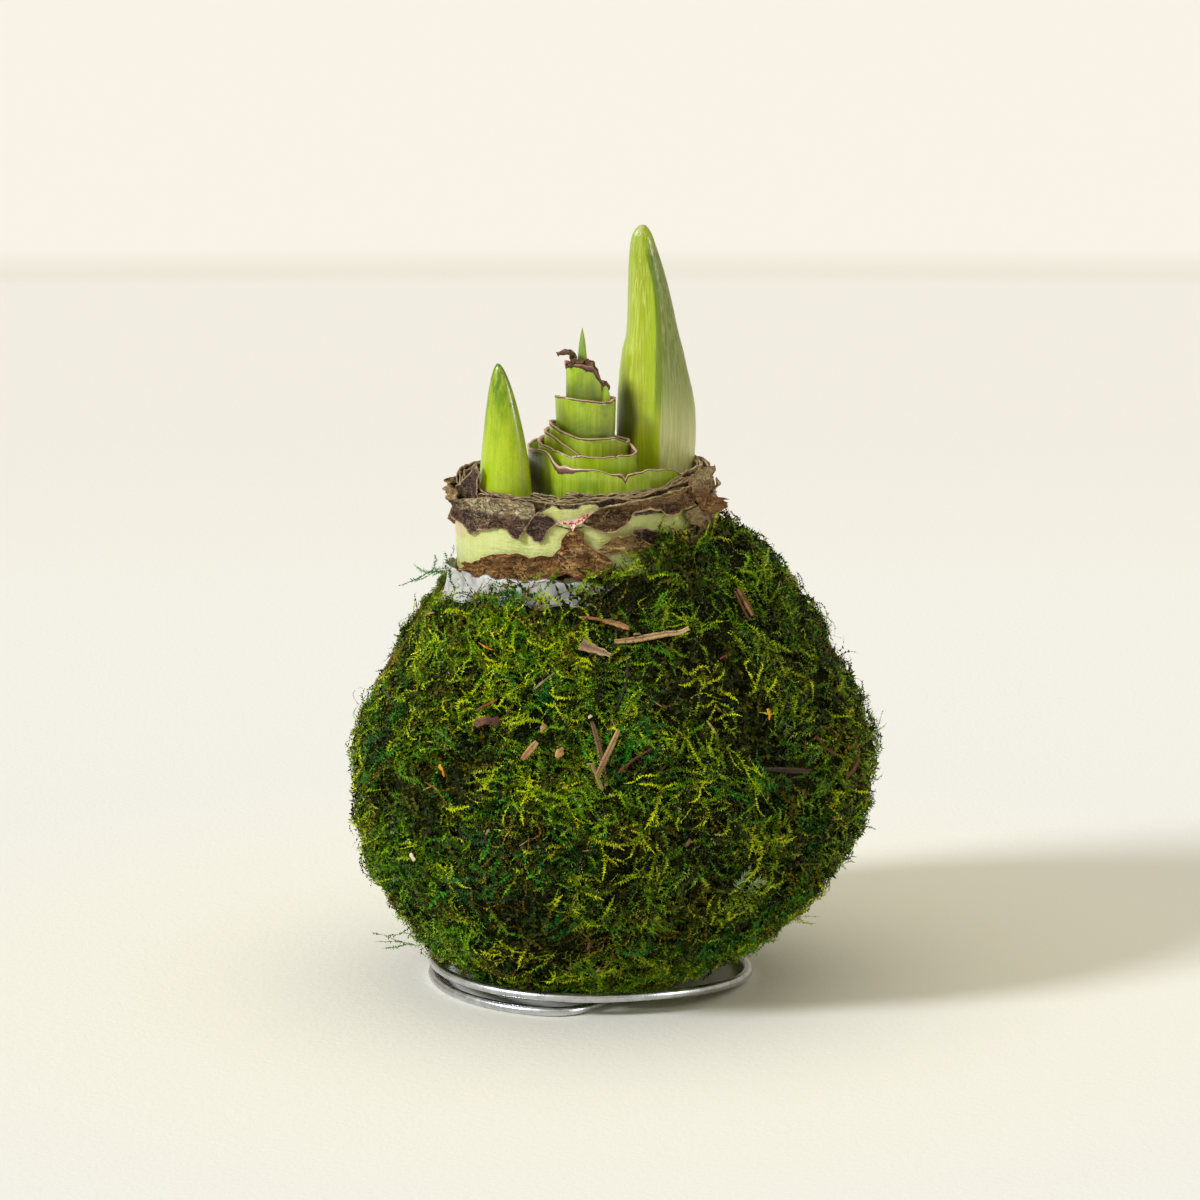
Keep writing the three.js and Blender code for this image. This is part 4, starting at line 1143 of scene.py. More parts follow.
def roundedRings(name, rows, columns, harmonics):
    # level slices of a standing node, with the flats of its faces smoothed away
    tree, outside = nodeTree(name), 40
    (_, _, low), (_, _, high) = boxOf(name)
    foot, top = low + 0.05, high - 0.25
    shares = 1 - (1 - np.linspace(0, 1, rows)) ** 1.5
    turns, wayOut = roundWays(columns)
    points = nodePoints(name)
    near = points[points[:, 2] < low + 0.5][:, :2]
    centre = (near.min(0) + near.max(0)) / 2
    rings = np.zeros((rows, columns, 3))
    rings[..., 2] = (foot + (top - foot) * shares)[:, None]
    for row, height in enumerate(rings[:, 0, 2]):
        for _ in range(2):
            hits = []
            for way in wayOut:
                way = Vector((*way, 0))
                hit = tree.ray_cast(Vector((*centre, height)) + way * outside, -way)[0]
                hits.append(centre if hit is None else (hit[0], hit[1]))
            hits = np.array(hits)
            centre = hits.mean(0)
        waveform = np.fft.rfft(np.hypot(*(hits - centre).T))
        waveform[harmonics + 1:] = 0
        rings[row, :, :2] = centre + np.fft.irfft(waveform, columns)[:, None] * wayOut
    return blurAlong(rings, 3), turns, shares


shortTissue = {
    "roughness": 0.27, "coat": 0.4, "sharpness": 0.1, "fineShare": 0.35, "tipFrom": 0.25, "lineShare": 0.5,
    "bruiseShare": 0.3, "dryReach": 0.0, "bump": 0.16, "low": colour(162, 190, 0), "high": colour(66, 112, 4),
    "line": colour(198, 210, 44), "bruise": colour(118, 158, 0), "crust": colour(160, 150, 90),
    "crustDark": colour(110, 100, 50),
}
tallLook = {
    "rows": 96, "columns": 112, "top": 156.95, "seamTurn": 85, "seamDepth": 0.3,
    "ridge": 0.35, "ridgeWidth": 1.5,
    # height, place across
    "keel": ((103, 9.1), (106.8, 9.2), (115.1, 9.4), (119.3, 9.7), (124.5, 10.1), (134.8, 10.15), (139, 10.0),
             (143.1, 9.75), (147.2, 9.05), (151.3, 7.95), (155.4, 7.25), (157, 7.0)),
    # height, left and right side
    "sides": ((103, 1.3, 16.2), (106, 1.0, 16.4), (109.8, 0.57, 16.71), (112.3, 0.49, 16.85),
              (115.4, 0.49, 16.88), (119, 0.57, 16.74), (122.9, 0.75, 16.09), (126.9, 1.06, 15.11),
              (131.1, 1.59, 14.19), (134.2, 2.39, 13.36), (136.9, 2.61, 12.74), (139.7, 2.71, 12.17),
              (142.5, 2.75, 11.51), (145.2, 2.81, 10.87), (148, 2.87, 10.08), (150.7, 3.01, 9.21),
              (153.5, 3.29, 8.25), (154.9, 3.62, 7.71), (155.6, 3.98, 7.38), (156.2, 4.35, 7.01),
              (156.6, 4.76, 6.73), (157, 5.15, 6.4)),
    # height, right side of the painted shadow that the leaf stack casts
    "shadowAt": ((104, 4.6), (106.5, 4.4), (108.6, 4.2), (111, 4.6), (117.6, 5.5), (121.1, 4.77), (124.7, 3.9),
               (127.5, 3.2), (129, 2.6)),
    "low": colour(190, 206, 0), "high": colour(152, 172, 0), "line": colour(214, 222, 118),
    "stripe": colour(168, 194, 0), "keelLine": colour(84, 112, 0), "right": colour(112, 128, 34),
    "rightLine": colour(160, 170, 94), "foot": colour(244, 244, 176), "fleck": colour(112, 138, 12),
    "dark": colour(60, 66, 0), "outline": colour(164, 178, 90), "notch": colour(196, 184, 130),
}


def tallMaterial():
    look = tallLook
    material, tree, shader = newMaterial(
        "tallShootTissue", roughness=0.34, Specular_IOR_Level=0.5, Coat_Weight=0.3, Coat_Roughness=0.25,
        Subsurface_Weight=0.1, Subsurface_Radius=(0.6, 1.0, 0.2), Subsurface_Scale=0.0012)
    lines = placeGroup(tree, streaks, Sharpness=0.18, **{"Fine Share": 0.7})
    patch = placeGroup(tree, blotches, Cover=0.4)
    up = attribute(tree, "up")
    hair = spread(tree, noiseNode(tree, 0.42, (1, 1, 70), detail=2), 0.4, 0.6)
    flow = noiseNode(tree, 1.7, (1, 1, 26), detail=1, rough=0.4, distortion=0.7)
    vein = spread(tree, awayFrom(tree, flow, 0.5), 0.035, 0.0)
    right = mixColour(tree, spread(tree, up, 0.5, 0.04), look["right"], look["foot"])
    right = cover(tree, right, look["rightLine"], hair, spread(tree, up, 0.1, 0.6, 0.3, 0.6))
    body = mixColour(tree, spread(tree, up, 0.1, 0.9), look["low"], look["high"])
    body = cover(tree, body, look["line"], hair, spread(tree, up, 0.0, 0.6, 0.12, 0.3))
    body = cover(tree, body, look["line"], vein, spread(tree, up, 0.1, 0.5, 0.2, 0.6))
    body = cover(tree, body, look["fleck"], patch.outputs["Mask"], 0.14)
    body = cover(tree, body, look["outline"], attribute(tree, "edge"), 0.6)
    body = cover(tree, body, look["stripe"], attribute(tree, "stripe"), 0.7)
    body = cover(tree, body, right, attribute(tree, "side"), 0.95)
    body = mixColour(tree, attribute(tree, "keel"), body, look["keelLine"])
    # painted shadow that the leaf stack casts on the shoot's lower left
    body = cover(tree, body, look["dark"], attribute(tree, "dark"), 0.88)
    body = mixColour(tree, attribute(tree, "notch"), body, look["notch"])
    feed(tree, shader.inputs["Base Color"], body)
    feed(tree, shader.inputs["Roughness"], spread(tree, attribute(tree, "wet"), 0.0, 1.0, 0.34, 0.12))
    height = mathNode(tree, "ADD", lines.outputs["Height"], mathNode(tree, "MULTIPLY", hair, 0.4))
    addBump(tree, shader, height, 0.12)
    return material


def makeTallShoot():
    look = tallLook
    rings, turns, shares = roundedRings("tall_shoot", look["rows"], look["columns"], 9)
    foot = rings[0, 0, 2]
    rings[..., 2] = foot + (rings[..., 2] - foot) * (look["top"] - foot) / (rings[-1, 0, 2] - foot)
    heights = rings[:, 0, 2]
    # its two sides, as seen from the front
    left, right = [fromTable(look["sides"], heights, column) for column in (1, 2)]
    own = rings[..., 0].min(1), rings[..., 0].max(1)
    grow = (right - left) / (own[1] - own[0])
    rings[..., 0] = left[:, None] + (rings[..., 0] - own[0][:, None]) * grow[:, None]
    behind = rings[..., 1].mean(1)[:, None]
    rings[..., 1] = behind + (rings[..., 1] - behind) * np.where(heights > 150, grow, 1)[:, None]
    degrees = np.degrees(turns)
    middle = rings.mean(1, keepdims=True)
    wayOut = unit((rings - middle) * (1, 1, 0))
    radius = np.linalg.norm((rings - middle)[..., :2], axis=-1)
    keelAt = fromTable(look["keel"], heights) - middle[:, 0, 0]
    lean = np.clip(keelAt / np.maximum((right - left) / 2, 0.3), -0.7, 0.7)
    keelTurn = -90 + np.degrees(np.arcsin(lean))[:, None]
    across = np.radians(turnFrom(degrees, keelTurn)) * radius  # millimetres from the keel
    raised = np.exp(-(across / look["ridgeWidth"]) ** 2) * look["ridge"]
    # an outer leaf ends in a thin step at the back
    past = turnFrom(degrees, look["seamTurn"] - 20 * shares[:, None])
    step = within(past, -3, 3, 3, 70) * look["seamDepth"]
    rings = rings + wayOut * ((raised - step) * within(shares, 0.0, 0.12, 0.95, 1.0)[:, None])[..., None]
    high = heights[:, None]
    front = (wayOut[..., 1] < 0.2) * 1.0
    fromLeft = rings[..., 0] - left[:, None]
    # the painted shadow of the leaf stack: on the front only, fading out above
    shadowPaint = rings[..., 0] - fromTable(look["shadowAt"], heights)[:, None]
    dark = (1 - smooth(shadowPaint, -1.6, 0.3)) * (1 - smooth(high, 122, 128.6)) * front
    thing = tubeMesh(
        "tallShoot", rings, tallMaterial(),
        up=(np.repeat(shares, look["columns"]), (0, 1)),
        side=(within(across, -0.1, 0.3, 10, 15) * (1 - smooth(high, 151, 155)), (0, 0)),
        stripe=(within(across, -3.6, -1.4, -1.1, -0.8) * (1 - smooth(high, 140, 150)), (0, 0)),
        keel=(within(across, -1.3, -0.9, 0.0, 0.3) * within(high, 112, 124, 150, 155) * 0.8, (0, 0)),
        edge=(front * (1 - smooth(fromLeft, 0.3, 1.5)), (0, 0)),
        dark=(dark * smooth(fromLeft, -0.3, 0.3 + 1.2 * smooth(high, 112, 124)), (0, 0)),
        notch=(np.exp(-((rings[..., 0] - 5.35) / 0.3) ** 2) * smooth(high, 154.6, 156.6) * front, (0, 0.6)),
        wet=(np.exp(-((across + 0.4) / 0.5) ** 2) * smooth(high, 149, 151.5), (0, 0)))
    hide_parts("tall_shoot")


def makeSmallShoots():
    rings, turns, shares = roundedRings("short_shoot", 56, 56, 7)
    short = tubeMesh("shortShoot", rings, leafMaterial("shortShootTissue", shortTissue),
                     up=(np.repeat(shares, len(turns)), (0, 1)))
    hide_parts("short_shoot")
    rings, turns, shares = roundedRings("tip_leaf", 60, 24, 4)
    middle = rings.mean(1, keepdims=True)
    rings = middle + (rings - middle) * (1.6, 1.25, 1)
    rings[..., 2] = rings[0, 0, 2] + (rings[..., 2] - rings[0, 0, 2]) * 1.05
    paler = {**shortTissue, "low": colour(152, 178, 92), "high": colour(124, 160, 72)}
    tip = tubeMesh("tipLeaf", rings, leafMaterial("tipLeafTissue", paler),
                   up=(np.repeat(shares, len(turns)), (0, 1)))
    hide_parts("tip_leaf")


makeTallShoot()
makeSmallShoots()
print("amaryllis: shoots made")


# wire

def makeWire():
    data = bpy.data.meshes.new("wireStand")
    skin = bmesh.new()
    skin.from_mesh(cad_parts["wire_stand"].data)
    bmesh.ops.remove_doubles(skin, verts=skin.verts, dist=0.00002)
    bmesh.ops.join_triangles(skin, faces=skin.faces, angle_face_threshold=0.5, angle_shape_threshold=0.8)
    for face in skin.faces:
        face.smooth = True
    skin.to_mesh(data)
    skin.free()
    data.materials.clear()
    data.materials.append(wireMaterial())
    wire = bpy.data.objects.new("wireStand", data)
    bpy.context.scene.collection.objects.link(wire)
    rounding = wire.modifiers.new("rounding", "SUBSURF")
    rounding.levels = 2
    rounding.render_levels = 2
    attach(wire, "root")
    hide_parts("wire_stand")


makeWire()
print("amaryllis: wire made")


# litter and dead tips

def midLine(name, stations):
    # middle of a rod-like node, from one end to the other
    points = nodePoints(name)
    centre = points.mean(0)
    _, _, ways = np.linalg.svd(points - centre, full_matrices=False)
    along = (points - centre) @ ways[0]
    place = (along - along.min()) / np.ptp(along)
    marks = [points[np.abs(place - mark) < 0.13].mean(0) for mark in np.linspace(0, 1, 5)]
    return blurAlong(lineThrough(np.array(marks), stations), 6)


def sweepRod(line, widths, thicks, out, columns, groove=0.0, boxy=1.0):
    # rings of an oval section along a line; out is the side that faces away from the ball
    ahead = unit(np.gradient(line, axis=0))
    side = unit(np.cross(out, ahead))
    up = np.cross(ahead, side)
    turns = np.linspace(0, 2 * np.pi, columns, endpoint=False)
    dent = 1 - groove * np.exp(-((turns - np.pi / 2) / 0.32) ** 2)
    wide, high = [np.sign(part) * np.abs(part) ** boxy * dent for part in (np.cos(turns), np.sin(turns))]
    rings = line[:, None] + side[:, None] * wide[None, :, None] * widths[:, None, None]
    return rings + up[:, None] * high[None, :, None] * thicks[:, None, None], turns


def barkMesh(name, rings, material, share, turns):
    # a rod's skin, with how far along it each point is and how near the groove on its outer side
    hollow = np.exp(-((turns - np.pi / 2) / 0.4) ** 2)
    return tubeMesh(name, rings, material, along=(np.repeat(share, len(turns)), (0, 1)),
                    groove=(np.tile(hollow, len(share)), (1, 1)))


litterPieces = {  # node: look
    "twig_long": {"width": 0.68, "thick": 0.5, "low": colour(190, 152, 104), "high": colour(212, 178, 130),
                  "groove": colour(96, 66, 40), "hook": 1.8, "sunk": 1.1},
    "needle_left": {"width": 0.55, "thick": 0.45, "low": colour(120, 90, 62), "high": colour(156, 120, 82),
                    "groove": colour(38, 24, 20)},
    "needle_cross": {"width": 0.62, "thick": 0.45, "low": colour(150, 112, 74), "high": colour(192, 152, 104),
                     "groove": colour(88, 58, 38)},
    "needle_low": {"width": 0.75, "thick": 0.4, "low": colour(190, 146, 96), "high": colour(164, 118, 76),
                   "groove": colour(110, 76, 48)},
    "twig_stub": {"width": 0.6, "thick": 0.5, "low": colour(76, 54, 34), "high": colour(58, 42, 26),
                  "groove": colour(34, 26, 18)},
    "needle_right": {"width": 0.5, "thick": 0.4, "low": colour(130, 78, 44), "high": colour(106, 66, 40),
                     "groove": colour(56, 34, 22)},
    "twig_shoulder": {"width": 0.65, "thick": 0.5, "low": colour(122, 84, 44), "high": colour(146, 104, 56),
                      "groove": colour(60, 42, 24)},
    "bark_chip": {"width": 1.0, "thick": 0.3, "low": colour(196, 164, 130), "high": colour(168, 134, 100),
                  "groove": colour(84, 60, 44), "torn": 0.5},
    "twig_back": {"width": 0.65, "thick": 0.5, "low": colour(112, 78, 48), "high": colour(150, 110, 70),
                  "groove": colour(60, 42, 28)},
    "needle_back": {"width": 0.55, "thick": 0.4, "low": colour(130, 92, 60), "high": colour(158, 118, 78),
                    "groove": colour(70, 48, 32)},
}
ballMiddle = middleOf("moss_wrap")
ballMiddle[2] = 46.0
ballRadius = 50.0  # about, where millimetres on the ball become angles or the other way round
grainRadius = 52.0  # of the sphere on which the ball's bumps and patches are worked out
litterLines = []  # middle lines of what lies on the moss, kept free of strands


def makeLitter():
    for seed, (node, look) in enumerate(litterPieces.items()):
        title = node.title().replace("_", "")
        line = midLine(node, 36)
        out = unit(line.mean(0) - ballMiddle)
        share = np.linspace(0, 1, len(line))
        raised = 0.8 + waves(line, 5, seed) * 0.25 + look.get("hook", 0) * smooth(share, 0.75, 1.0) ** 2
        line = line + out * raised[:, None]
        taper = 0.55 + 0.45 * np.sin(np.pi * np.clip(share * 0.9 + 0.08, 0, 1))
        groove, boxy = 0.35, 1.0
        if "sunk" in look:  # its root lies deeper in the moss
            line[:, 2] -= look["sunk"] * (1 - smooth(share, 0, 0.7))
        if "torn" in look:  # a flat scrap with ragged sides and blunt ends
            groove, boxy = 0.05, 0.35
            line = line.mean(0) + (line - line.mean(0)) * 1.12
            taper = 0.7 + look["torn"] * waves(line, 0.9, seed) * 0.4 + 0.4 * share
        litterLines.append(line)
        widths, thicks = look["width"] * taper, look["thick"] * np.minimum(taper, 1)
        rings, turns = sweepRod(line, widths, thicks, out, 16, groove, boxy)
        rings += (waves(rings, 0.9, seed + 3) * 0.06)[..., None] * out
        thing = barkMesh("litter" + title, rings, twigMaterial("bark" + title, look), share, turns)
        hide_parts(node)


# each shred of withered edge: the node it stands for, how far back it lies, and (u, v, width) in the picture
deadTips = {
    "deadTipCurl": {
        "node": "dead_tip_curl", "back": -2.6, "wrap": 1.2,
        "path": ((557, 354.5, 0.5), (560, 352.6, 0.75), (565.6, 351.4, 0.9), (569.7, 352.2, 0.8),
                 (572.6, 355.4, 0.75), (573.6, 359.4, 0.8), (576.2, 362.6, 0.8), (581, 363.5, 0.7),
                 (586.2, 361.8, 0.6), (588, 357.6, 0.3))},
    "deadTipSide": {
        "node": "dead_tip_side", "back": -1.4, "wrap": 0.6,
        "path": ((588.5, 360.4, 0.4), (592, 362.6, 0.7), (594, 368.6, 0.7), (597, 376.6, 0.6),
                 (600.6, 380.6, 0.8), (604.4, 383.4, 0.9), (607.4, 386.8, 0.7), (608, 391, 0.3))},
    "deadTipHook": {"back": -1.6, "wrap": 0.8,
                    "path": ((600, 381, 0.3), (602.6, 385.6, 0.9), (601.2, 390, 1.0), (601, 394.6, 0.5))},
    "deadTipFringe": {
        "back": -3.3, "wrap": 0.4,
        "path": ((566, 366, 0.4), (569, 363.6, 0.8), (573, 363.4, 1.0), (577, 366.2, 0.9),
                 (582, 367.6, 0.9), (586.4, 366.4, 0.9), (589.6, 363.4, 0.8), (591.4, 361.4, 0.4))},
}


def placeAt(u, v, back):
    # the point behind a place in the camera's picture, at y = back
    start, way = sightLine(u, v)
    return start + way * ((back - start[1]) / way[1])


def makeDeadTips():
    look = {**paperLooks["small"], "mid": colour(118, 88, 62), "pale": colour(176, 146, 106),
            "fibre": colour(190, 160, 120), "dark": colour(52, 34, 24), "edge": colour(150, 104, 80),
            "darkCover": 0.34}
    paper = paperMaterial("paperDeadTip", look)
    for seed, (piece, tip) in enumerate(deadTips.items()):
        share = np.linspace(0, 1, 70)
        marks = np.array([(*placeAt(u, v, tip["back"]), width) for u, v, width in tip["path"]])
        line = blurAlong(lineThrough(marks[:, :3], len(share)), 8)
        line[:, 1] += waves(line, 2.4, seed + 30) * 0.35
        widths = np.interp(share, np.linspace(0, 1, len(marks)), marks[:, 3])
        widths = blurAlong(widths, 4) * (1 + 0.3 * waves(line, 0.9, seed + 2))
        turn = tip["wrap"] * np.sin(share * 7 + seed) + 0.6 * waves(line, 1.6, seed + 9)
        out = unit(np.stack([0.2 + 0 * turn, -np.cos(turn), np.sin(turn)], -1))
        rings, turns = sweepRod(line, widths, widths * 0.35 + 0.06, out, 20)
        rings += (waves(rings, 0.8, seed + 6) * 0.16)[..., None] * out[:, None]
        rings[..., 2] += waves(rings, 1.3, seed + 12) * 0.12
        thing = tubeMesh(piece, rings, paper,
                         rim=(np.tile(np.abs(np.cos(turns)) ** 6, len(line)), (1, 1)),
                         up=(0.5 + 0.5 * waves(rings, 2.0, seed + 20), (0, 1)),
                         ridge=(smooth(waves(rings, 0.9, seed + 40), 0, 1.4), (0, 0)))
        if "node" in tip:
            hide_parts(tip["node"])


def makeLeafStrip():
    # what is left of the innermost leaf base beside its dead edge, as (u, v, half width)
    path = ((605.5, 409, 1.15), (605.4, 401, 1.12), (605.4, 394, 0.9), (605.0, 388, 0.6), (604.4, 384, 0.25))
    columns, share = 20, np.linspace(0, 1, 24)
    marks = np.array([(*placeAt(u, v, -1.6), width) for u, v, width in path])
    widths = np.interp(share, np.linspace(0, 1, len(marks)), marks[:, 3])
    line = lineThrough(marks[:, :3], len(share))
    rings, _ = sweepRod(line, widths, widths * 0.3 + 0.1, np.tile((0.0, -1.0, 0.0), (len(line), 1)), columns)
    thing = tubeMesh("leafStrip", rings, bpy.data.materials["leafBaseYoung"],
                     rim=(np.repeat(smooth(share, 0.8, 1.0), columns), (0, 1)),
                     up=(np.repeat(share, columns), (0, 1)))


makeLitter()
makeDeadTips()
makeLeafStrip()
print("amaryllis: litter and dead tips made")


# moss

def wayTo(turn, rise):
    # unit vectors from the ball's middle; rise is the angle up from straight down, both in radians
    turn, rise = np.broadcast_arrays(turn, rise)
    return np.stack([np.cos(turn) * np.sin(rise), np.sin(turn) * np.sin(rise), -np.cos(rise)], -1)


def anglesOf(ways):
    # the turn and rise of unit vectors
    return np.arctan2(ways[..., 1], ways[..., 0]), np.arccos(np.clip(-ways[..., 2], -1, 1))


def nearness(ways, turn, rise, size):
    # 1 at a spot on the ball, fading to 0 round it; all three in degrees
    away = np.arccos(np.clip(ways @ wayTo(math.radians(turn), math.radians(rise)), -1, 1))
    return np.exp(-(away / math.radians(size)) ** 2)


def measureMoss(columns=180, rows=96):
    # how far the moss reaches from the middle of the ball, by turn and by rise,
    # and the rise of its upper rim at each turn
    tree = nodeTree("moss_wrap")
    outside, depth = 95.0, 83.0  # where a ray starts, and how far it looks
    centre = Vector(ballMiddle)

    def castAt(turn, rise):
        way = Vector(wayTo(turn, rise))
        return tree.ray_cast(centre + way * outside, -way, depth)[0]

    turns = np.linspace(-np.pi, np.pi, columns, endpoint=False)
    rims = []
    for turn in turns:
        low, high = math.radians(100), math.radians(175)
        for _ in range(14):
            between = (low + high) / 2
            if castAt(turn, between) is None:
                high = between
            else:
                low = between
        rims.append(low)
    rims = blurAlong(np.array(rims), 2, closed=True) - 0.004
    rises = np.linspace(0.02, 1, rows)
    reaches = np.zeros((rows, columns))
    for k, turn in enumerate(turns):
        for r, rise in enumerate(rises * rims[k]):
            hit = castAt(turn, rise)
            reaches[r, k] = (hit - centre).length if hit else reaches[r - 1, k]
    # standing sprigs are small spikes in these numbers: the smaller of near neighbours leaves them out
    stack = [np.roll(reaches, shift, axis=1) for shift in (-2, -1, 0, 1, 2)]
    stack += [np.roll(s, shift, axis=0) for s in stack for shift in (-1, 1)]
    base = np.percentile(np.stack(stack), 35, axis=0)
    base[:2], base[-2:] = reaches[:2], reaches[-2:]
    base = blurAlong(blurAlong(base, 1).T, 2, closed=True).T
    return {"rims": rims, "reaches": base, "rows": rows, "columns": columns}


moss = measureMoss()
lumps = {"clump": 7.5, "clumpHeight": 2.1, "broad": 26.0, "broadHeight": 0.9, "neckRadius": 29.6,
         "thin": ((180, 117, 15, 3.7), (180, 135, 9, 1.7))}  # thin places: turn, rise, size, millimetres


def creaseAt(ways):
    # 0 in the creases between the clumps, 1 on top of them
    return np.minimum(np.abs(waves(ways * grainRadius, lumps["clump"], 77)), 1.0)


def thinness(ways):
    # how many millimetres the moss is thinner here than its node
    return sum(depth * nearness(ways, turn, rise, size) for turn, rise, size, depth in lumps["thin"])


def lumpHeight(ways):
    # rounded clumps with creases between them, on a broader swell
    clumps = (creaseAt(ways) - 0.62) * lumps["clumpHeight"]
    clumps += waves(ways * grainRadius, lumps["broad"], 78) * lumps["broadHeight"]
    thin = thinness(ways)
    return clumps * (1 - np.minimum(thin / 5, 0.8)) - thin


def columnAt(turn):
    # the measured columns on both sides of a turn, and how far it is from the first to the second
    place = (turn + np.pi) / (2 * np.pi) * moss["columns"]
    low = np.floor(place).astype(int)
    return low % moss["columns"], (low + 1) % moss["columns"], place - low


def rimRise(turn):
    first, second, part = columnAt(turn)
    return moss["rims"][first] * (1 - part) + moss["rims"][second] * part


def mossReach(ways):
    # distance from the ball's middle to the moss along unit vectors, carried on up the neck above the rim
    turn, rise = anglesOf(ways)
    rim = rimRise(turn)
    row = np.clip((rise / rim - 0.02) / 0.98 * (moss["rows"] - 1), 0, moss["rows"] - 1.001)
    low = np.floor(row).astype(int)
    up = row - low
    first, second, part = columnAt(turn)
    table = moss["reaches"]
    below = table[low, first] * (1 - part) + table[low, second] * part
    above = table[low + 1, first] * (1 - part) + table[low + 1, second] * part
    reach = below * (1 - up) + above * up
    off = ballMiddle[:2] - neckMiddle
    lean = unit(ways[..., :2]) @ off
    neckReach = -lean + np.sqrt(np.maximum(lean ** 2 - off @ off + lumps["neckRadius"] ** 2, 1))
    neckReach = neckReach / np.maximum(np.sin(rise), 0.2)
    return np.where(rise > rim, np.clip(neckReach, reach - 3, reach + 14), reach)


def layOn(points, height):
    # moves points onto the moss, height above it
    ways = unit(points - ballMiddle)
    return ballMiddle + ways * (mossReach(ways) + lumpHeight(ways) + height)[..., None]


def makeMossMat():
    # worn: by how many degrees its rim is lower, as (turn, degrees)
    look = {"columns": 150, "rows": 72, "under": 0.9,
            "worn": ((-180, 1.6), (-164, 1.6), (-150, 0.6), (-140, 1.5), (-126, 3), (-114, 4.6), (-103, 4),
                     (-95, 1.5), (-87, 0), (150, 0), (164, 1.6), (180, 1.6))}
    turns = np.linspace(-np.pi, np.pi, look["columns"], endpoint=False)
    shares = np.linspace(0.03, 1, look["rows"])[:, None]
    worn = fromTable(look["worn"], np.degrees(turns))
    ways = wayTo(turns, shares * (rimRise(turns) - np.radians(worn)))
    skin = layOn(ballMiddle + ways * ballRadius, np.full(ways.shape[:2], -look["under"]))
    skin += ways * (waves(ways * grainRadius, 1.4, 12) * 0.35)[..., None]
    # the rim turns over and goes down inside, beside the wax
    rim = skin[-1]
    wayIn = unit((rim - (*neckMiddle, 0)) * (-1, -1, 0))
    tucked = [rim + wayIn * back - (0, 0, drop) for drop, back in ((0.6, 0.9), (3.0, 1.4), (8.0, 0.9))]
    rings = np.concatenate([skin, np.stack(tucked)])
    rows, columns, _ = rings.shape
    points = np.concatenate([rings.reshape(-1, 3), rings[:1].mean(1)])
    faces = [gridFaces(rows, columns, True), fan(np.arange(columns), rows * columns, flip=True)]
    mat = addMesh("mossMat", points, faces, matMaterial())
    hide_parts("moss_wrap")


def strandPaths(root, ahead, out, length, bend, wander, stations, draw):
    # (strand, station, 3): lines that turn as they run, in the plane they set out in
    share = np.linspace(0, 1, stations + 1)
    side = np.cross(out, ahead)
    count = len(root)
    phase = draw.uniform(0, 2 * np.pi, (count, 1))
    turn = bend[:, None] * share + wander[:, None] * np.sin(share * draw.uniform(4, 9, (count, 1)) + phase)
    step = (length / stations)[:, None]
    forward = np.cumsum(np.cos(turn) * step, 1) - step
    sideways = np.cumsum(np.sin(turn) * step, 1) - step * np.sin(turn[:, :1])
    return root[:, None] + forward[..., None] * ahead[:, None] + sideways[..., None] * side[:, None]


def featherFaces(count, stations):
    # two leaflets a step: every leaflet stands on its own step of the middle line
    base = (np.arange(count)[:, None] * (3 * stations + 1) + np.arange(stations)[None] * 3).ravel()
    left = np.stack([base, base + 3, base + 1], -1)
    right = np.stack([base, base + 2, base + 3], -1)
    return np.concatenate([left, right])


def feathers(paths, leafLength, splay, draw):
    # points in the order middle, left tip, right tip for each step, and a last middle point
    count, stations = paths.shape[0], paths.shape[1] - 1
    ahead = unit(np.gradient(paths, axis=1))[:, :-1]
    out = unit(paths[:, :-1] - ballMiddle)
    roll = draw.normal(0, 0.6, (count, 1, 1))
    side = unit(np.cross(out, ahead))
    up = np.cross(ahead, side)
    side, up = side * np.cos(roll) + up * np.sin(roll), up * np.cos(roll) - side * np.sin(roll)
    share = np.linspace(0, 1, stations)
    full = np.minimum(0.5 + share * 3.5, 1) * np.minimum((1.06 - share) * 3.2, 1)
    body = [paths[:, :-1]]
    for way in (1, -1):
        size = leafLength[:, None] * full[None] * draw.uniform(0.6, 1.35, (count, stations))
        angle = splay + draw.normal(0, 0.2, (count, stations))
        raised = draw.normal(0.3, 0.35, (count, stations))
        reach = ahead * np.cos(angle)[..., None] + way * side * np.sin(angle)[..., None]
        reach = reach + up * raised[..., None]
        body.append(paths[:, :-1] + size[..., None] * reach)
    points = np.stack(body, 2).reshape(count, stations * 3, 3)
    points = np.concatenate([points, paths[:, -1:]], 1)
    points[..., 2] = np.maximum(points[..., 2], 0.15)
    # leaflets are paler at their tips than at the stem, and no two alike
    tip = np.empty((count, stations, 3))
    tip[..., 0] = share * 0.55
    tip[..., 1:] = np.minimum(share + 0.45, 1)[:, None] * draw.uniform(0.35, 1.45, (count, stations, 2))
    tip = np.concatenate([tip.reshape(count, -1), np.ones((count, 1))], 1)
    return points.reshape(-1, 3), tip.ravel()


def scatterWays(count, draw):
    # unit vectors spread evenly over the ball below its rim
    ways = unit(draw.normal(size=(int(count * 1.4), 3)))
    turn, rise = anglesOf(ways)
    return ways[rise < rimRise(turn)]


def aboveRim(points):
    # how far points stand above the rim of the moss, in millimetres
    off = points - ballMiddle
    reach = np.linalg.norm(off, axis=-1)
    turn, rise = anglesOf(off / reach[..., None])
    return (rise - rimRise(turn)) * reach


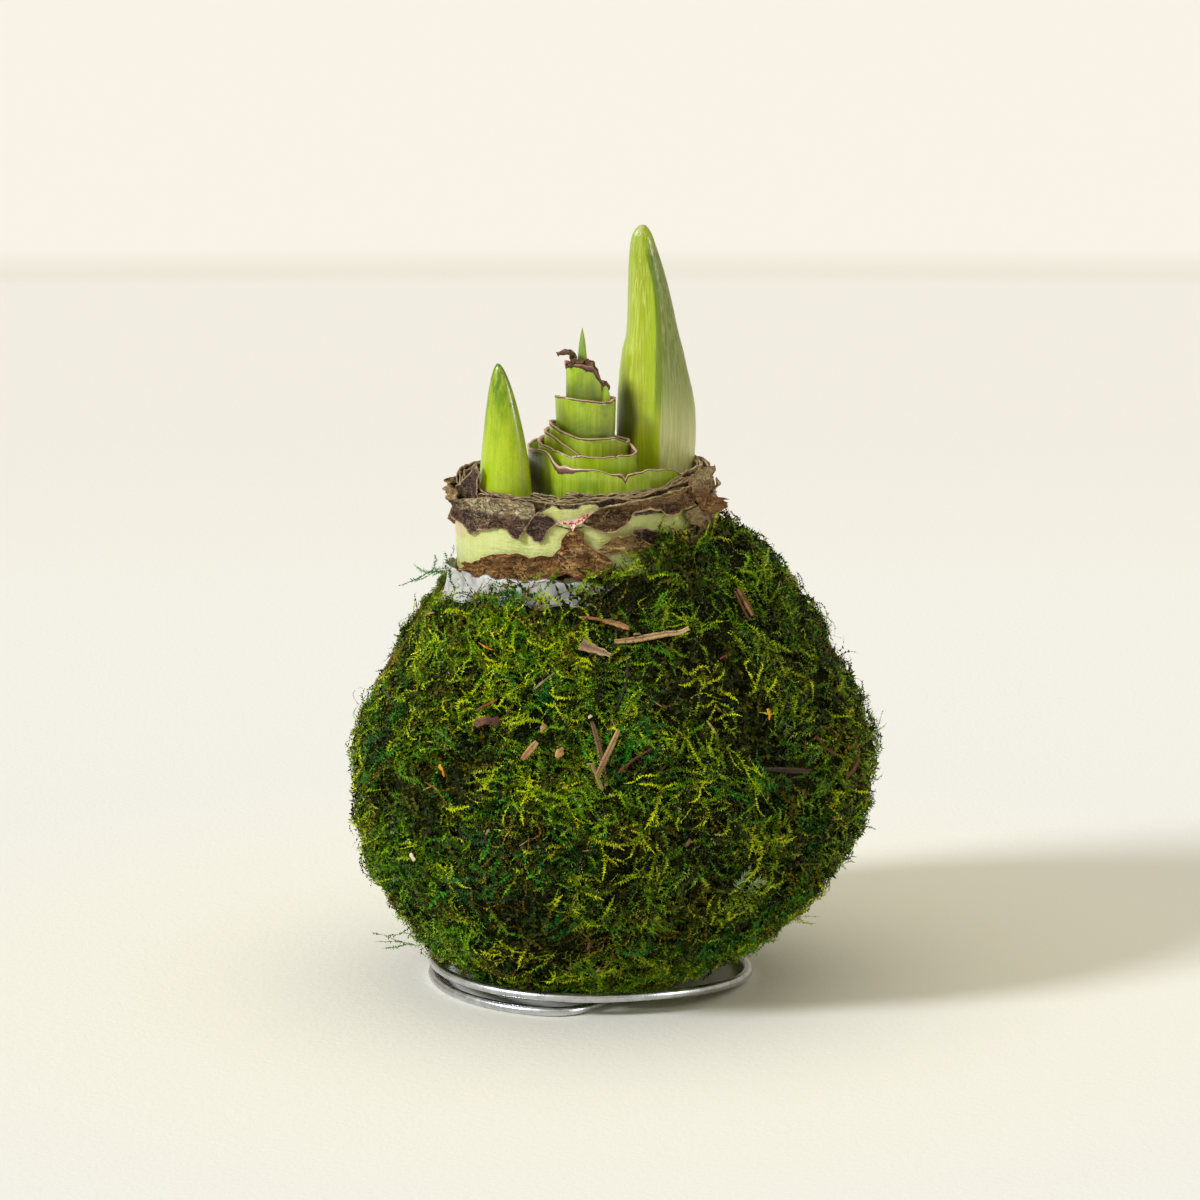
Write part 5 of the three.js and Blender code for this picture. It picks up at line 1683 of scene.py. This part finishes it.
def keepClear(paths):
    # strands that would climb the neck, run into the floor or cover the litter are left out
    room = {"floor": 0.6, "top": 101.2, "litter": 0.85}
    off = paths[:, 0] - ballMiddle
    fromLeft = 180 - np.abs(np.degrees(np.arctan2(off[:, 1], off[:, 0])))
    limit = 2.6 - 3.2 * np.exp(-(fromLeft / 32) ** 2)
    height = paths[..., 2]
    fits = (aboveRim(paths).max(1) < limit) & (height.min(1) > room["floor"]) & (height.max(1) < room["top"])
    spots = np.concatenate(litterLines) - ballMiddle
    reach = np.linalg.norm(spots, axis=-1)
    ways = spots / reach[:, None]
    for part in (0.25, 0.5, 0.75, 1.0):
        points = paths[:, int(part * (paths.shape[1] - 1))] - ballMiddle
        far = np.linalg.norm(points, axis=-1)
        near = (points / far[:, None]) @ ways.T
        nearest = near.argmax(1)
        close = near[np.arange(len(points)), nearest] > math.cos(room["litter"] / ballRadius)
        fits &= ~(close & (far > reach[nearest] + 0.1))
    return fits


# strands: how many, in tufts of so many; depth: how deep they start; arch: how high they bow;
# lift: how far some tips stand out; patch: the seed of where they grow thicker;
# spots: where more of them grow, as (turn, rise, size) in degrees
mossKinds = {
    "mossUnder": {"strands": 3500, "tuft": 6, "steps": 12, "length": (8, 15), "depth": (-1.0, -0.1),
                  "arch": (0.2, 1.0), "lift": 0.8, "leaf": (0.8, 1.3), "splay": 0.8, "wander": 0.6,
                  "cool": colour(32, 57, 0), "warm": colour(99, 93, 6), "root": colour(8, 11, 0),
                  "pale": colour(104, 92, 30), "paleFrom": 0.85, "roughness": 0.6},
    "mossDeep": {"strands": 4100, "tuft": 15, "steps": 18, "length": (6, 11), "depth": (-0.8, 0.1),
                 "arch": (0.3, 1.3), "lift": 2.6, "leaf": (0.48, 0.84), "splay": 0.72, "wander": 0.8,
                 "patch": 3,
                 "cool": colour(40, 104, 0), "warm": colour(122, 165, 0), "root": colour(3, 7, 0),
                 "pale": colour(190, 200, 20), "paleFrom": 0.72, "roughness": 0.36},
    "mossGreen": {"strands": 4200, "tuft": 15, "steps": 18, "length": (5, 10), "depth": (-0.5, 0.4),
                  "arch": (0.5, 1.6), "lift": 2.6, "leaf": (0.46, 0.8), "splay": 0.75, "wander": 0.6,
                  "patch": 4,
                  "cool": colour(77, 133, 0), "warm": colour(165, 192, 0), "root": colour(6, 10, 0),
                  "pale": colour(224, 226, 30), "paleFrom": 0.72, "roughness": 0.34},
    "mossBright": {"strands": 2700, "tuft": 8, "steps": 18, "length": (4, 9), "depth": (-0.2, 0.6),
                   "arch": (0.6, 1.9), "lift": 2.2, "leaf": (0.4, 0.72), "splay": 0.8, "wander": 0.6,
                   "patch": 5, "even": 0.75,
                   "spots": [(-112, 127, 9), (-144, 123, 8), (-70, 96, 9), (-103, 122, 7)],
                   "cool": colour(113, 159, 0), "warm": colour(213, 225, 2), "root": colour(10, 14, 0),
                   "pale": colour(244, 242, 80), "paleFrom": 0.76, "roughness": 0.34},
    "mossOlive": {"strands": 1400, "tuft": 7, "steps": 16, "length": (7, 14), "depth": (-0.4, 0.6),
                  "arch": (0.3, 1.6), "lift": 2.6, "leaf": (0.3, 0.55), "splay": 0.55, "wander": 0.7,
                  "patch": 9,
                  "cool": colour(89, 83, 2), "warm": colour(159, 127, 27), "root": colour(12, 9, 2),
                  "pale": colour(190, 162, 96), "paleFrom": 0.8, "roughness": 0.6},
    "mossTeal": {"strands": 700, "tuft": 7, "steps": 18, "length": (5, 11), "depth": (-0.1, 0.7),
                 "arch": (0.6, 1.8), "lift": 2.4, "leaf": (0.5, 0.9), "splay": 0.85, "wander": 0.7,
                 "patch": 14, "spots": [(-152, 90, 7), (-130, 86, 10), (-114, 88, 9), (-125, 110, 5),
                                        (-97, 110, 6), (-123, 76, 7)],
                 "cool": colour(7, 81, 24), "warm": colour(50, 145, 23), "root": colour(2, 12, 3),
                 "pale": colour(110, 176, 80), "paleFrom": 0.82, "roughness": 0.4},
    # only for stray fronds
    "straySage": {"cool": colour(120, 152, 96), "warm": colour(160, 176, 128), "root": colour(40, 56, 28),
                  "pale": colour(190, 200, 160), "paleFrom": 0.9, "roughness": 0.6},
}


def layStrands(tufts, look, draw, seed):
    # each tuft is a bunch of strands that start close together and run much the same way
    each = look["tuft"]
    count = len(tufts) * each
    level = unit(np.cross(tufts, (0, 0, 1.0)))
    upward = np.cross(level, tufts)
    turn = 2.2 * waves(tufts * grainRadius, 22, 6) + draw.normal(0, 0.8, len(tufts))
    turn += draw.integers(0, 2, len(tufts)) * np.pi
    tone = draw.uniform(size=len(tufts))
    raised = draw.normal(0.0, 0.35, len(tufts))
    spot = np.repeat(np.arange(len(tufts)), each)
    apart = draw.normal(0, 2.3, (2, count, 1)) / ballRadius
    ways = unit(tufts[spot] + level[spot] * apart[0] + upward[spot] * apart[1])
    heading = turn[spot] + draw.normal(0, 0.45, count)
    ahead = level[spot] * np.cos(heading)[:, None] + upward[spot] * np.sin(heading)[:, None]
    root = ballMiddle + ways * mossReach(ways)[:, None]
    length = draw.uniform(*look["length"], count)
    bend = draw.normal(0, 0.5, len(tufts))[spot] + draw.normal(0, 0.6, count)
    wander = draw.uniform(0.1, look["wander"], count)
    paths = strandPaths(root, ahead, ways, length, bend, wander, look["steps"], draw)
    share = np.linspace(0, 1, look["steps"] + 1)
    depth = draw.uniform(*look["depth"], (count, 1)) + raised[spot][:, None]
    arch = draw.uniform(*look["arch"], (count, 1))
    crown = draw.uniform(0.5, 1.1, (count, 1))
    lift = look["lift"] * draw.uniform(0, 1, (count, 1)) ** 6 * share[None] ** 1.6
    height = depth + arch * np.sin(np.pi * crown * share[None] * 0.85) + lift + 0.15 * waves(paths, 2.0, seed)
    height *= 1 - np.minimum(thinness(ways) / 4, 0.65)[:, None]
    # each strand's tone: random, plus painted shade in the creases between clumps and painted light on top of
    # them
    glow = draw.uniform(-0.42, 0.42, count) + 0.6 * (creaseAt(ways) - 0.6)
    glow += 0.22 * smooth(-ways[:, 2], 0.1, 0.8)  # painted light, as if bounced up from the floor, towards the foot of the ball
    glow += 0.16 * smooth(ways @ np.array([-0.62, -0.38, 0.68]), 0.2, 0.9) + 0.04  # and painted light at its upper left, where the key light falls
    return layOn(paths, height), np.clip(tone[spot] + draw.normal(0, 0.16, count), 0, 1), glow


def addStrands(piece, kind, points, tips, picks, tonesAndPaintedLight, faces):
    # picks and glows have one number for each point
    tissue = bpy.data.materials.get(kind + "Tissue") or mossMaterial(kind + "Tissue", mossKinds[kind])
    thing = addMesh(piece, points, faces, tissue, soft=False)
    paint(thing, "tip", tips)
    paint(thing, "pick", picks)
    paint(thing, "glow", tonesAndPaintedLight)
    print("amaryllis:", piece, len(faces), "triangles")


def makeMossStrands():
    for seed, (piece, look) in enumerate(mossKinds.items()):
        if "strands" not in look:
            continue
        draw = np.random.default_rng(300 + seed)
        wanted = int(look["strands"] / look["tuft"] * 1.15)
        tufts = scatterWays(wanted * 4, draw)
        if "patch" in look:
            # a kind grows thicker in some patches than in others
            chance = 0.42 + 0.36 * waves(tufts * grainRadius, 11, look["patch"])
            if "spots" in look:
                near = [nearness(tufts, *spot) for spot in look["spots"]]
                chance = look.get("even", 0.3) * chance + np.max(near, axis=0)
            tufts = tufts[draw.uniform(size=len(tufts)) < chance]
        paths, tone, glow = layStrands(tufts[:wanted], look, draw, seed)
        fits = keepClear(paths)
        paths, tone, glow = [part[fits][:look["strands"]] for part in (paths, tone, glow)]
        count, each = len(paths), 3 * look["steps"] + 1
        points, tips = feathers(paths, draw.uniform(*look["leaf"], count), look["splay"], draw)
        addStrands(piece, piece, points, tips, np.repeat(tone, each), np.repeat(glow, each),
                   featherFaces(count, look["steps"]))


# fronds that stand out by themselves: kind, leaf length, side fronds, then (u, v, lift) in the picture
strayFronds = (
    ("mossTeal", 1.0, 6, ((456, 592, 0.8), (448, 568, 2.2), (432, 570, 3.2), (413, 581, 4.2))),
    ("mossOlive", 0.35, 0, ((425, 612, 0.8), (405, 640, 2.2), (388, 668, 3.2), (376, 690, 4.2))),
    ("mossOlive", 0.35, 0, ((420, 622, 0.8), (396, 652, 1.8), (380, 676, 2.0), (378, 700, 2.4))),
    ("mossOlive", 0.3, 0,
     ((372, 712, 0.6), (358, 704, 3.0), (352, 694, 3.6), (358, 688, 3.0), (366, 690, 2.0))),
    ("mossDeep", 0.6, 3, ((412, 925, 0.5), (400, 934, 1.6), (385, 936, 2.4))),
    ("mossDeep", 0.85, 4, ((442, 940, 1.0), (420, 945, 2.2), (396, 941, 2.8), (381, 932, 2.8))),
    ("mossGreen", 0.6, 4, ((852, 752, 0.6), (868, 738, 2.2), (888, 722, 3.6))),
    ("mossOlive", 0.2, 0, ((812, 640, 0.4), (828, 633, 2.4), (846, 641, 3.4))),
    ("mossBright", 0.85, 5, ((772, 930, 0.4), (788, 920, 2.0), (804, 911, 3.0), (812, 898, 3.6))),
    ("mossBright", 0.75, 3, ((784, 924, 0.8), (798, 918, 2.4), (810, 914, 3.2))),
    ("mossGreen", 0.6, 2, ((856, 764, 0.4), (868, 760, 2.0), (876, 764, 2.8))),
    ("mossDeep", 0.6, 2, ((826, 866, 0.4), (838, 864, 1.8), (848, 870, 2.6))),
    ("mossTeal", 0.9, 4, ((424, 758, 0.8), (436, 746, 1.5), (452, 741, 1.6))),
    ("mossTeal", 0.8, 4, ((484, 806, 0.8), (498, 800, 1.6), (512, 802, 1.8))),
    ("mossTeal", 0.8, 3, ((608, 700, 0.8), (620, 695, 1.6), (634, 697, 1.8))),
    ("mossTeal", 0.9, 4, ((516, 707, 0.8), (533, 700, 1.7), (552, 693, 1.5))),
    ("mossTeal", 0.9, 3, ((578, 691, 0.8), (590, 685, 1.7), (602, 679, 1.8))),
    ("mossTeal", 0.8, 3, ((386, 872, 0.8), (396, 864, 1.5), (408, 862, 1.5))),
    ("mossBright", 0.62, 3,
     ((696, 740, 1.0), (724, 748, 1.9), (740, 757, 1.9), (747, 776, 1.8), (760, 790, 1.7),
      (770, 808, 1.4))),
    ("mossBright", 1.0, 0,
     ((728, 816, 0.8), (741, 826, 1.7), (753, 836, 2.0), (762, 849, 2.0), (759, 866, 2.0), (744, 884, 1.8),
      (724, 899, 1.5))),
    ("mossBright", 0.95, 2, ((661, 780, 0.8), (660, 796, 1.8), (656, 812, 1.9), (642, 832, 1.4))),
    ("mossBright", 0.9, 0, ((660, 800, 1.0), (667, 812, 1.8), (673, 822, 1.4))),
    ("mossGreen", 0.9, 3, ((648, 718, 0.8), (660, 734, 1.7), (676, 753, 1.4))),
    ("mossGreen", 0.9, 2, ((720, 716, 0.8), (728, 728, 1.8), (737, 740, 1.4))),
    ("mossBright", 0.8, 3, ((494, 652, 0.6), (496, 630, 1.8), (500, 612, 2.4), (508, 600, 2.4))),
    ("mossBright", 0.8, 3, ((500, 655, 0.6), (505, 632, 2.0), (513, 612, 2.4), (520, 603, 2.0))),
    ("mossBright", 0.8, 3, ((528, 600, 1.0), (538, 598, 2.2), (546, 604, 2.4), (552, 616, 1.8))),
    ("mossBright", 0.8, 2, ((532, 596, 1.0), (545, 594, 2.0), (556, 600, 2.0), (562, 610, 1.4))),
    ("mossGreen", 0.8, 3, ((560, 596, 1.2), (574, 588, 2.4), (590, 584, 2.6), (604, 586, 2.2))),
    ("mossGreen", 0.8, 3, ((570, 600, 1.2), (580, 590, 2.4), (588, 578, 2.8), (598, 571, 2.8))),
    ("mossGreen", 0.8, 3, ((598, 590, 1.2), (606, 580, 2.6), (616, 574, 3.0), (630, 572, 2.8))),
    ("mossBright", 0.7, 2, ((612, 584, 1.2), (622, 572, 2.6), (634, 566, 3.0), (646, 566, 2.4))),
    ("mossDeep", 0.7, 4, ((545, 590, 1.0), (552, 580, 2.4), (560, 572, 3.0))),
    ("mossOlive", 0.45, 5, ((470, 600, 0.8), (476, 592, 1.8), (486, 586, 2.6), (494, 583, 3.0))),
    ("mossOlive", 0.45, 5, ((492, 604, 0.8), (498, 594, 1.8), (508, 588, 2.6), (520, 585, 3.0))),
    ("mossOlive", 0.45, 5, ((520, 600, 0.8), (528, 592, 2.0), (534, 583, 3.0), (540, 574, 3.4))),
    ("mossOlive", 0.25, 0, ((451, 672, 1.0), (452, 650, 1.8), (456, 630, 2.0), (468, 608, 1.6))),
    ("mossOlive", 0.25, 0, ((447, 668, 1.0), (449, 640, 1.8), (460, 620, 2.0), (463, 604, 1.6))),
    ("mossOlive", 0.3, 2,
     ((456, 676, 1.0), (470, 682, 1.8), (484, 690, 2.0), (500, 690, 1.8), (512, 688, 1.4))),
    ("mossGreen", 0.7, 2, ((516, 700, 1.0), (526, 686, 2.0), (536, 674, 2.0), (545, 668, 1.6))),
    ("mossBright", 0.7, 2, ((496, 722, 1.0), (508, 724, 1.8), (520, 722, 1.9), (528, 716, 1.5))),
    ("mossDeep", 0.8, 4, ((592, 776, 0.8), (584, 790, 1.8), (578, 806, 1.8), (574, 822, 1.4))),
    ("mossGreen", 0.8, 4, ((438, 800, 0.8), (446, 816, 1.8), (450, 834, 1.8), (462, 848, 1.4))),
    ("mossBright", 0.75, 3, ((560, 860, 0.8), (572, 872, 1.8), (586, 880, 1.9), (602, 880, 1.5))),
    ("mossDeep", 0.8, 4, ((640, 890, 0.8), (652, 904, 1.8), (668, 912, 1.8), (684, 912, 1.4))),
    ("mossGreen", 0.75, 3, ((790, 780, 0.8), (800, 796, 1.8), (804, 812, 1.8), (802, 830, 1.4))),
    ("mossDeep", 0.75, 4, ((486, 900, 0.8), (494, 916, 1.8), (506, 930, 1.8), (520, 938, 1.4))),
    ("mossOlive", 0.4, 2, ((520, 962, 1.0), (514, 974, 2.0), (508, 985, 2.6))),
    ("mossOlive", 0.4, 2, ((534, 964, 1.0), (530, 980, 2.2), (522, 993, 2.8))),
    ("mossDeep", 0.6, 3, ((560, 970, 0.8), (566, 984, 1.8), (574, 994, 2.2))),
    ("mossDeep", 0.6, 3, ((640, 972, 0.8), (646, 986, 1.8), (640, 998, 2.2))),
    ("mossGreen", 0.6, 3, ((456, 944, 0.8), (450, 954, 1.8), (441, 962, 2.6))),
    ("mossDeep", 0.6, 2, ((470, 950, 0.8), (466, 960, 1.8), (458, 966, 2.4))),
    ("straySage", 1.5, 0, ((728, 896, 0.8), (738, 884, 1.8), (748, 872, 2.2), (752, 862, 1.8))),
    ("straySage", 1.6, 0, ((744, 898, 0.8), (750, 886, 1.8), (760, 880, 2.0), (767, 884, 1.6))),
    ("straySage", 1.1, 0, ((780, 716, 0.8), (786, 726, 1.6), (784, 740, 1.4))),
)


def onMoss(u, v, lift):
    # where the line of sight meets the moss; past the ball's edge, where it comes nearest to its middle
    start, way = sightLine(u, v)
    nearest = (ballMiddle - start) @ way
    points = start + way * np.linspace(nearest - 62, nearest, 260)[:, None]
    off = points - ballMiddle
    inside = np.linalg.norm(off, axis=-1) < mossReach(unit(off)) + lumpHeight(unit(off)) + lift
    return points[np.argmax(inside)] if inside.any() else points[-1]


def branchesOf(line, count, draw):
    # side fronds that leave a stem in turn to its two sides
    ahead = unit(np.gradient(line, axis=0))
    length = np.linalg.norm(np.diff(line, axis=0), axis=-1).sum()
    lines = []
    for k in range(count):
        at = int((0.15 + 0.7 * (k + 0.5) / count) * (len(line) - 1))
        out = unit(line[at] - ballMiddle)
        side = np.cross(out, ahead[at]) * (1 if k % 2 else -1)
        reach = length * draw.uniform(0.22, 0.4)
        share = np.linspace(0, 1, 12)[:, None]
        bow = np.sin(share * 1.5) * draw.uniform(0.5, 0.9)
        run = share * ahead[at] * 0.75 + bow * side * 0.8 + share ** 2 * out * 0.15
        lines.append(line[at] + reach * run)
    return lines


def resample(line, step):
    lengths = np.append(0, np.cumsum(np.linalg.norm(np.diff(line, axis=0), axis=-1)))
    at = np.linspace(0, lengths[-1], max(int(lengths[-1] / step), 6) + 1)
    return np.stack([np.interp(at, lengths, line[:, k]) for k in range(3)], -1)


def makeStrays():
    draw = np.random.default_rng(900)
    bunches = {}
    for kind, leaf, sideFronds, path in strayFronds:
        marks = np.array([onMoss(*mark) for mark in path])
        line = blurAlong(lineThrough(marks, 40), 10)
        for order, stem in enumerate([line] + branchesOf(line, sideFronds, draw)):
            stem = resample(stem, 0.42)
            stem = stem + 0.12 * np.stack([waves(stem, 2.2, 31 + k) for k in range(3)], -1)
            points, tips = feathers(stem[None], np.array([leaf * (1 if order == 0 else 0.7)]), 0.7, draw)
            faces, pick = featherFaces(1, len(stem) - 1), np.full(len(points), draw.uniform(0.3, 0.9))
            bunches.setdefault(kind, []).append((points, tips, pick, faces))
    for kind, parts in bunches.items():
        firsts = np.cumsum([0] + [len(part[0]) for part in parts[:-1]])
        points, tips, picks, _ = [np.concatenate(column) for column in zip(*parts)]
        faces = np.concatenate([part[3] + first for part, first in zip(parts, firsts)])
        piece = "stray" + kind.replace("moss", "").replace("stray", "")
        addStrands(piece, kind, points, tips, picks, np.full(len(points), 0.22), faces)


# small litter by its place in the picture: colours, half widths at both ends, thickness, then (u, v)
twiglets = {
    "twigStriped": ("striped", 0.14, 0.72, 0.4, ((580, 617), (598, 619), (614, 623), (631, 629))),
    "stemPurple": ("purple", 0.25, 0.2, 0.22, ((628, 658), (627, 680), (621, 700), (614, 712))),
    "twigRed": ("red", 0.2, 0.15, 0.18, ((476, 711), (484, 706), (492, 702), (498, 699))),
    "twigPink": ("rust", 0.14, 0.16, 0.15, ((513, 704), (509, 711), (505, 717))),
    "chipPink": ("brown", 0.7, 0.95, 0.3, ((474, 724), (486, 720), (500, 723))),
    "stemSage": ("sage", 0.16, 0.24, 0.2, ((556, 672), (545, 680), (533, 690))),
    "threadOrange": ("orange", 0.14, 0.14, 0.14, ((478, 642), (485, 647), (493, 650))),
    "needleSplit": ("olive", 0.45, 0.3, 0.3, ((592, 764), (597, 777), (603, 791))),
    "chipYellow": ("yellow", 0.8, 0.4, 0.4, ((556, 758), (560, 752), (563, 747))),
    "chipTan": ("yellow", 0.5, 0.5, 0.4, ((541, 732), (543, 728), (546, 725))),
    "twigRust": ("rust", 0.26, 0.22, 0.24, ((617, 774), (634, 759), (653, 748))),
    "twigSide": ("rust", 0.32, 0.24, 0.28, ((815, 735), (824, 746), (836, 756))),
    "stemShoulder": ("rust", 0.26, 0.3, 0.26, ((735, 590), (741, 604), (750, 621))),
    "budWhite": ("white", 0.42, 0.42, 0.42, ((589, 715.5), (590, 716.5), (591, 718))),
    "leafYellow": ("orange", 0.5, 0.2, 0.2, ((438, 765), (442, 770), (444, 777))),
    "leafGold": ("orange", 0.4, 0.2, 0.2, ((768, 708), (771, 714), (770, 720))),
    "crumbPale": ("white", 0.5, 0.4, 0.3, ((411, 853), (413, 857), (415, 861))),
}
barks = {"tan": ((146, 112, 70), (176, 140, 92), (88, 60, 36)),
         "striped": ((156, 106, 56), (176, 130, 80), (62, 38, 20)),
         "purple": ((46, 28, 40), (66, 42, 46), (28, 16, 22)),
         "red": ((168, 70, 60), (186, 104, 84), (96, 40, 30)),
         "brown": ((132, 88, 66), (104, 66, 48), (52, 30, 22)),
         "sage": ((128, 132, 84), (158, 156, 112), (76, 78, 44)),
         "orange": ((226, 170, 30), (220, 132, 30), (150, 90, 20)),
         "olive": ((136, 122, 70), (166, 144, 92), (84, 70, 38)),
         "yellow": ((196, 158, 96), (176, 132, 76), (112, 76, 40)),
         "rust": ((116, 68, 38), (92, 50, 30), (50, 28, 18)),
         "white": ((240, 228, 206), (226, 206, 178), (170, 146, 116))}
crumbs = {"count": 110, "length": (0.8, 3.6), "width": (0.1, 0.36),
          "kinds": ("tan", "rust", "brown", "yellow", "olive")}


def barkMaterial(key):
    low, high, groove = [colour(*part) for part in barks[key]]
    return twigMaterial("bark" + key.title(), {"low": low, "high": high, "groove": groove})


def makeTwiglets(skins):
    for seed, (piece, (key, first, last, thick, path)) in enumerate(twiglets.items()):
        marks = np.array([onMoss(u, v, 1.9) for u, v in path])
        share = np.linspace(0, 1, 24)
        line = blurAlong(lineThrough(marks, len(share)), 4)
        litterLines.append(line)
        out = unit(line.mean(0) - ballMiddle)
        widths = np.interp(share, (0, 1), (first, last)) * (1 + 0.35 * waves(line, 0.7, seed))
        line = line + (waves(line, 1.6, seed + 50) * first * 0.5)[:, None] * unit(line - ballMiddle)
        widths *= np.minimum(1, 0.5 + 6 * np.minimum(share, 1 - share))
        rings, turns = sweepRod(line, widths, np.full(len(line), thick), out, 10, groove=0.2)
        thing = barkMesh(piece, rings, skins[key], share, turns)


def makeCrumbs(skins):
    # crumbs of bark and dead leaf all over the ball
    draw = np.random.default_rng(970)
    ways = scatterWays(crumbs["count"] * 2, draw)[:crumbs["count"]]
    kinds = draw.choice(crumbs["kinds"], len(ways))
    for key in crumbs["kinds"]:
        points, faces, first = [], [], 0
        for way in ways[kinds == key]:
            ahead = unit(np.cross(way, draw.normal(size=3)))
            share = np.linspace(-0.5, 0.5, 6)
            start = layOn((ballMiddle + way * ballRadius)[None], draw.uniform(0.9, 2.0, 1))[0]
            line = start + ahead * draw.uniform(*crumbs["length"]) * share[:, None]
            line = line + way * (draw.normal(0, 0.12) * share * 4 - 0.9 * share ** 2)[:, None]
            wide = draw.uniform(*crumbs["width"])
            widths, thicks = wide * (1.1 - 1.5 * share ** 2), np.full(len(share), wide * 0.7)
            rings, _ = sweepRod(line, widths, thicks, way, 6)
            if rings[..., 2].min() < 0.4:
                continue
            some, skin = tubeParts(rings, first)
            points.append(some)
            faces += skin
            first += len(some)
        piece = addMesh("crumbs" + key.title(), np.concatenate(points), faces, skins[key])
        paint(piece, "along", draw.uniform(size=first))


# moss that has crept up the neck: its upper edge as (turn, height), and where it starts
climbing = {
    "strands": 620, "steps": 12, "radius": 27.3, "low": 87.5,
    "kinds": {"mossDeep": 0.4, "mossGreen": 0.34, "mossBright": 0.14, "mossOlive": 0.12},  # their shares
    "edge": ((-84, 88.6), (-77, 90.0), (-68, 92.6), (-62, 95.4), (-58, 98.2), (-52, 99.8),
             (-47, 98.8), (-42, 96.4), (-36, 94.0), (-28, 95.0), (-22, 97.0), (-14, 95.5),
             (0, 92.5), (20, 91.5), (40, 90)),
}


def makeClimbing():
    look = climbing
    draw = np.random.default_rng(950)
    count, each = look["strands"], 3 * look["steps"] + 1
    first, last = look["edge"][0][0], look["edge"][-1][0]
    turn = draw.uniform(first, last, count) * draw.choice([1.0, 0.75], count)
    turn = np.clip(turn, first, last)
    height = look["low"] + (fromTable(look["edge"], turn) - look["low"]) * draw.uniform(0, 1, count) ** 0.75
    heading = draw.uniform(0, 2 * np.pi, count)[:, None]
    out, level = wayTo(np.radians(turn), np.pi / 2), wayTo(np.radians(turn + 90), np.pi / 2)
    ahead = level * np.cos(heading) + np.array([0, 0, 1.0]) * np.sin(heading)
    root = np.concatenate([neckMiddle + out[:, :2] * look["radius"], height[:, None]], -1)
    paths = strandPaths(root, ahead, out, draw.uniform(2.5, 5.5, count), draw.normal(0, 0.9, count),
                        draw.uniform(0.1, 0.8, count), look["steps"], draw)
    share = np.linspace(0, 1, look["steps"] + 1)
    reach = look["radius"] + 0.2 + draw.uniform(0.3, 2.4, (count, 1)) * np.sin(share * 2.2)
    paths[..., :2] = neckMiddle + unit(paths[..., :2] - neckMiddle) * reach[..., None]
    kinds = draw.choice(list(look["kinds"]), count, p=list(look["kinds"].values()))
    for kind in look["kinds"]:
        some = paths[kinds == kind]
        points, tips = feathers(some, draw.uniform(0.45, 0.8, len(some)), 0.75, draw)
        addStrands(kind.replace("moss", "climbing"), kind, points, tips,
                   np.repeat(draw.uniform(size=len(some)), each),
                   np.repeat(draw.uniform(-0.35, 0.25, len(some)), each),
                   featherFaces(len(some), look["steps"]))


makeMossMat()
skins = {key: barkMaterial(key) for key in barks}
makeTwiglets(skins)
makeCrumbs(skins)
makeMossStrands()
makeStrays()
makeClimbing()

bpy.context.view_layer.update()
added = [thing for thing in bpy.context.scene.objects if thing.type == "MESH" and not thing.hide_render]
shaped = bpy.context.evaluated_depsgraph_get()
faceCount = 0
for thing in added:
    mesh = thing.evaluated_get(shaped).to_mesh()
    mesh.calc_loop_triangles()
    faceCount += len(mesh.loop_triangles)
print("amaryllis: all pieces made,", faceCount, "triangles")
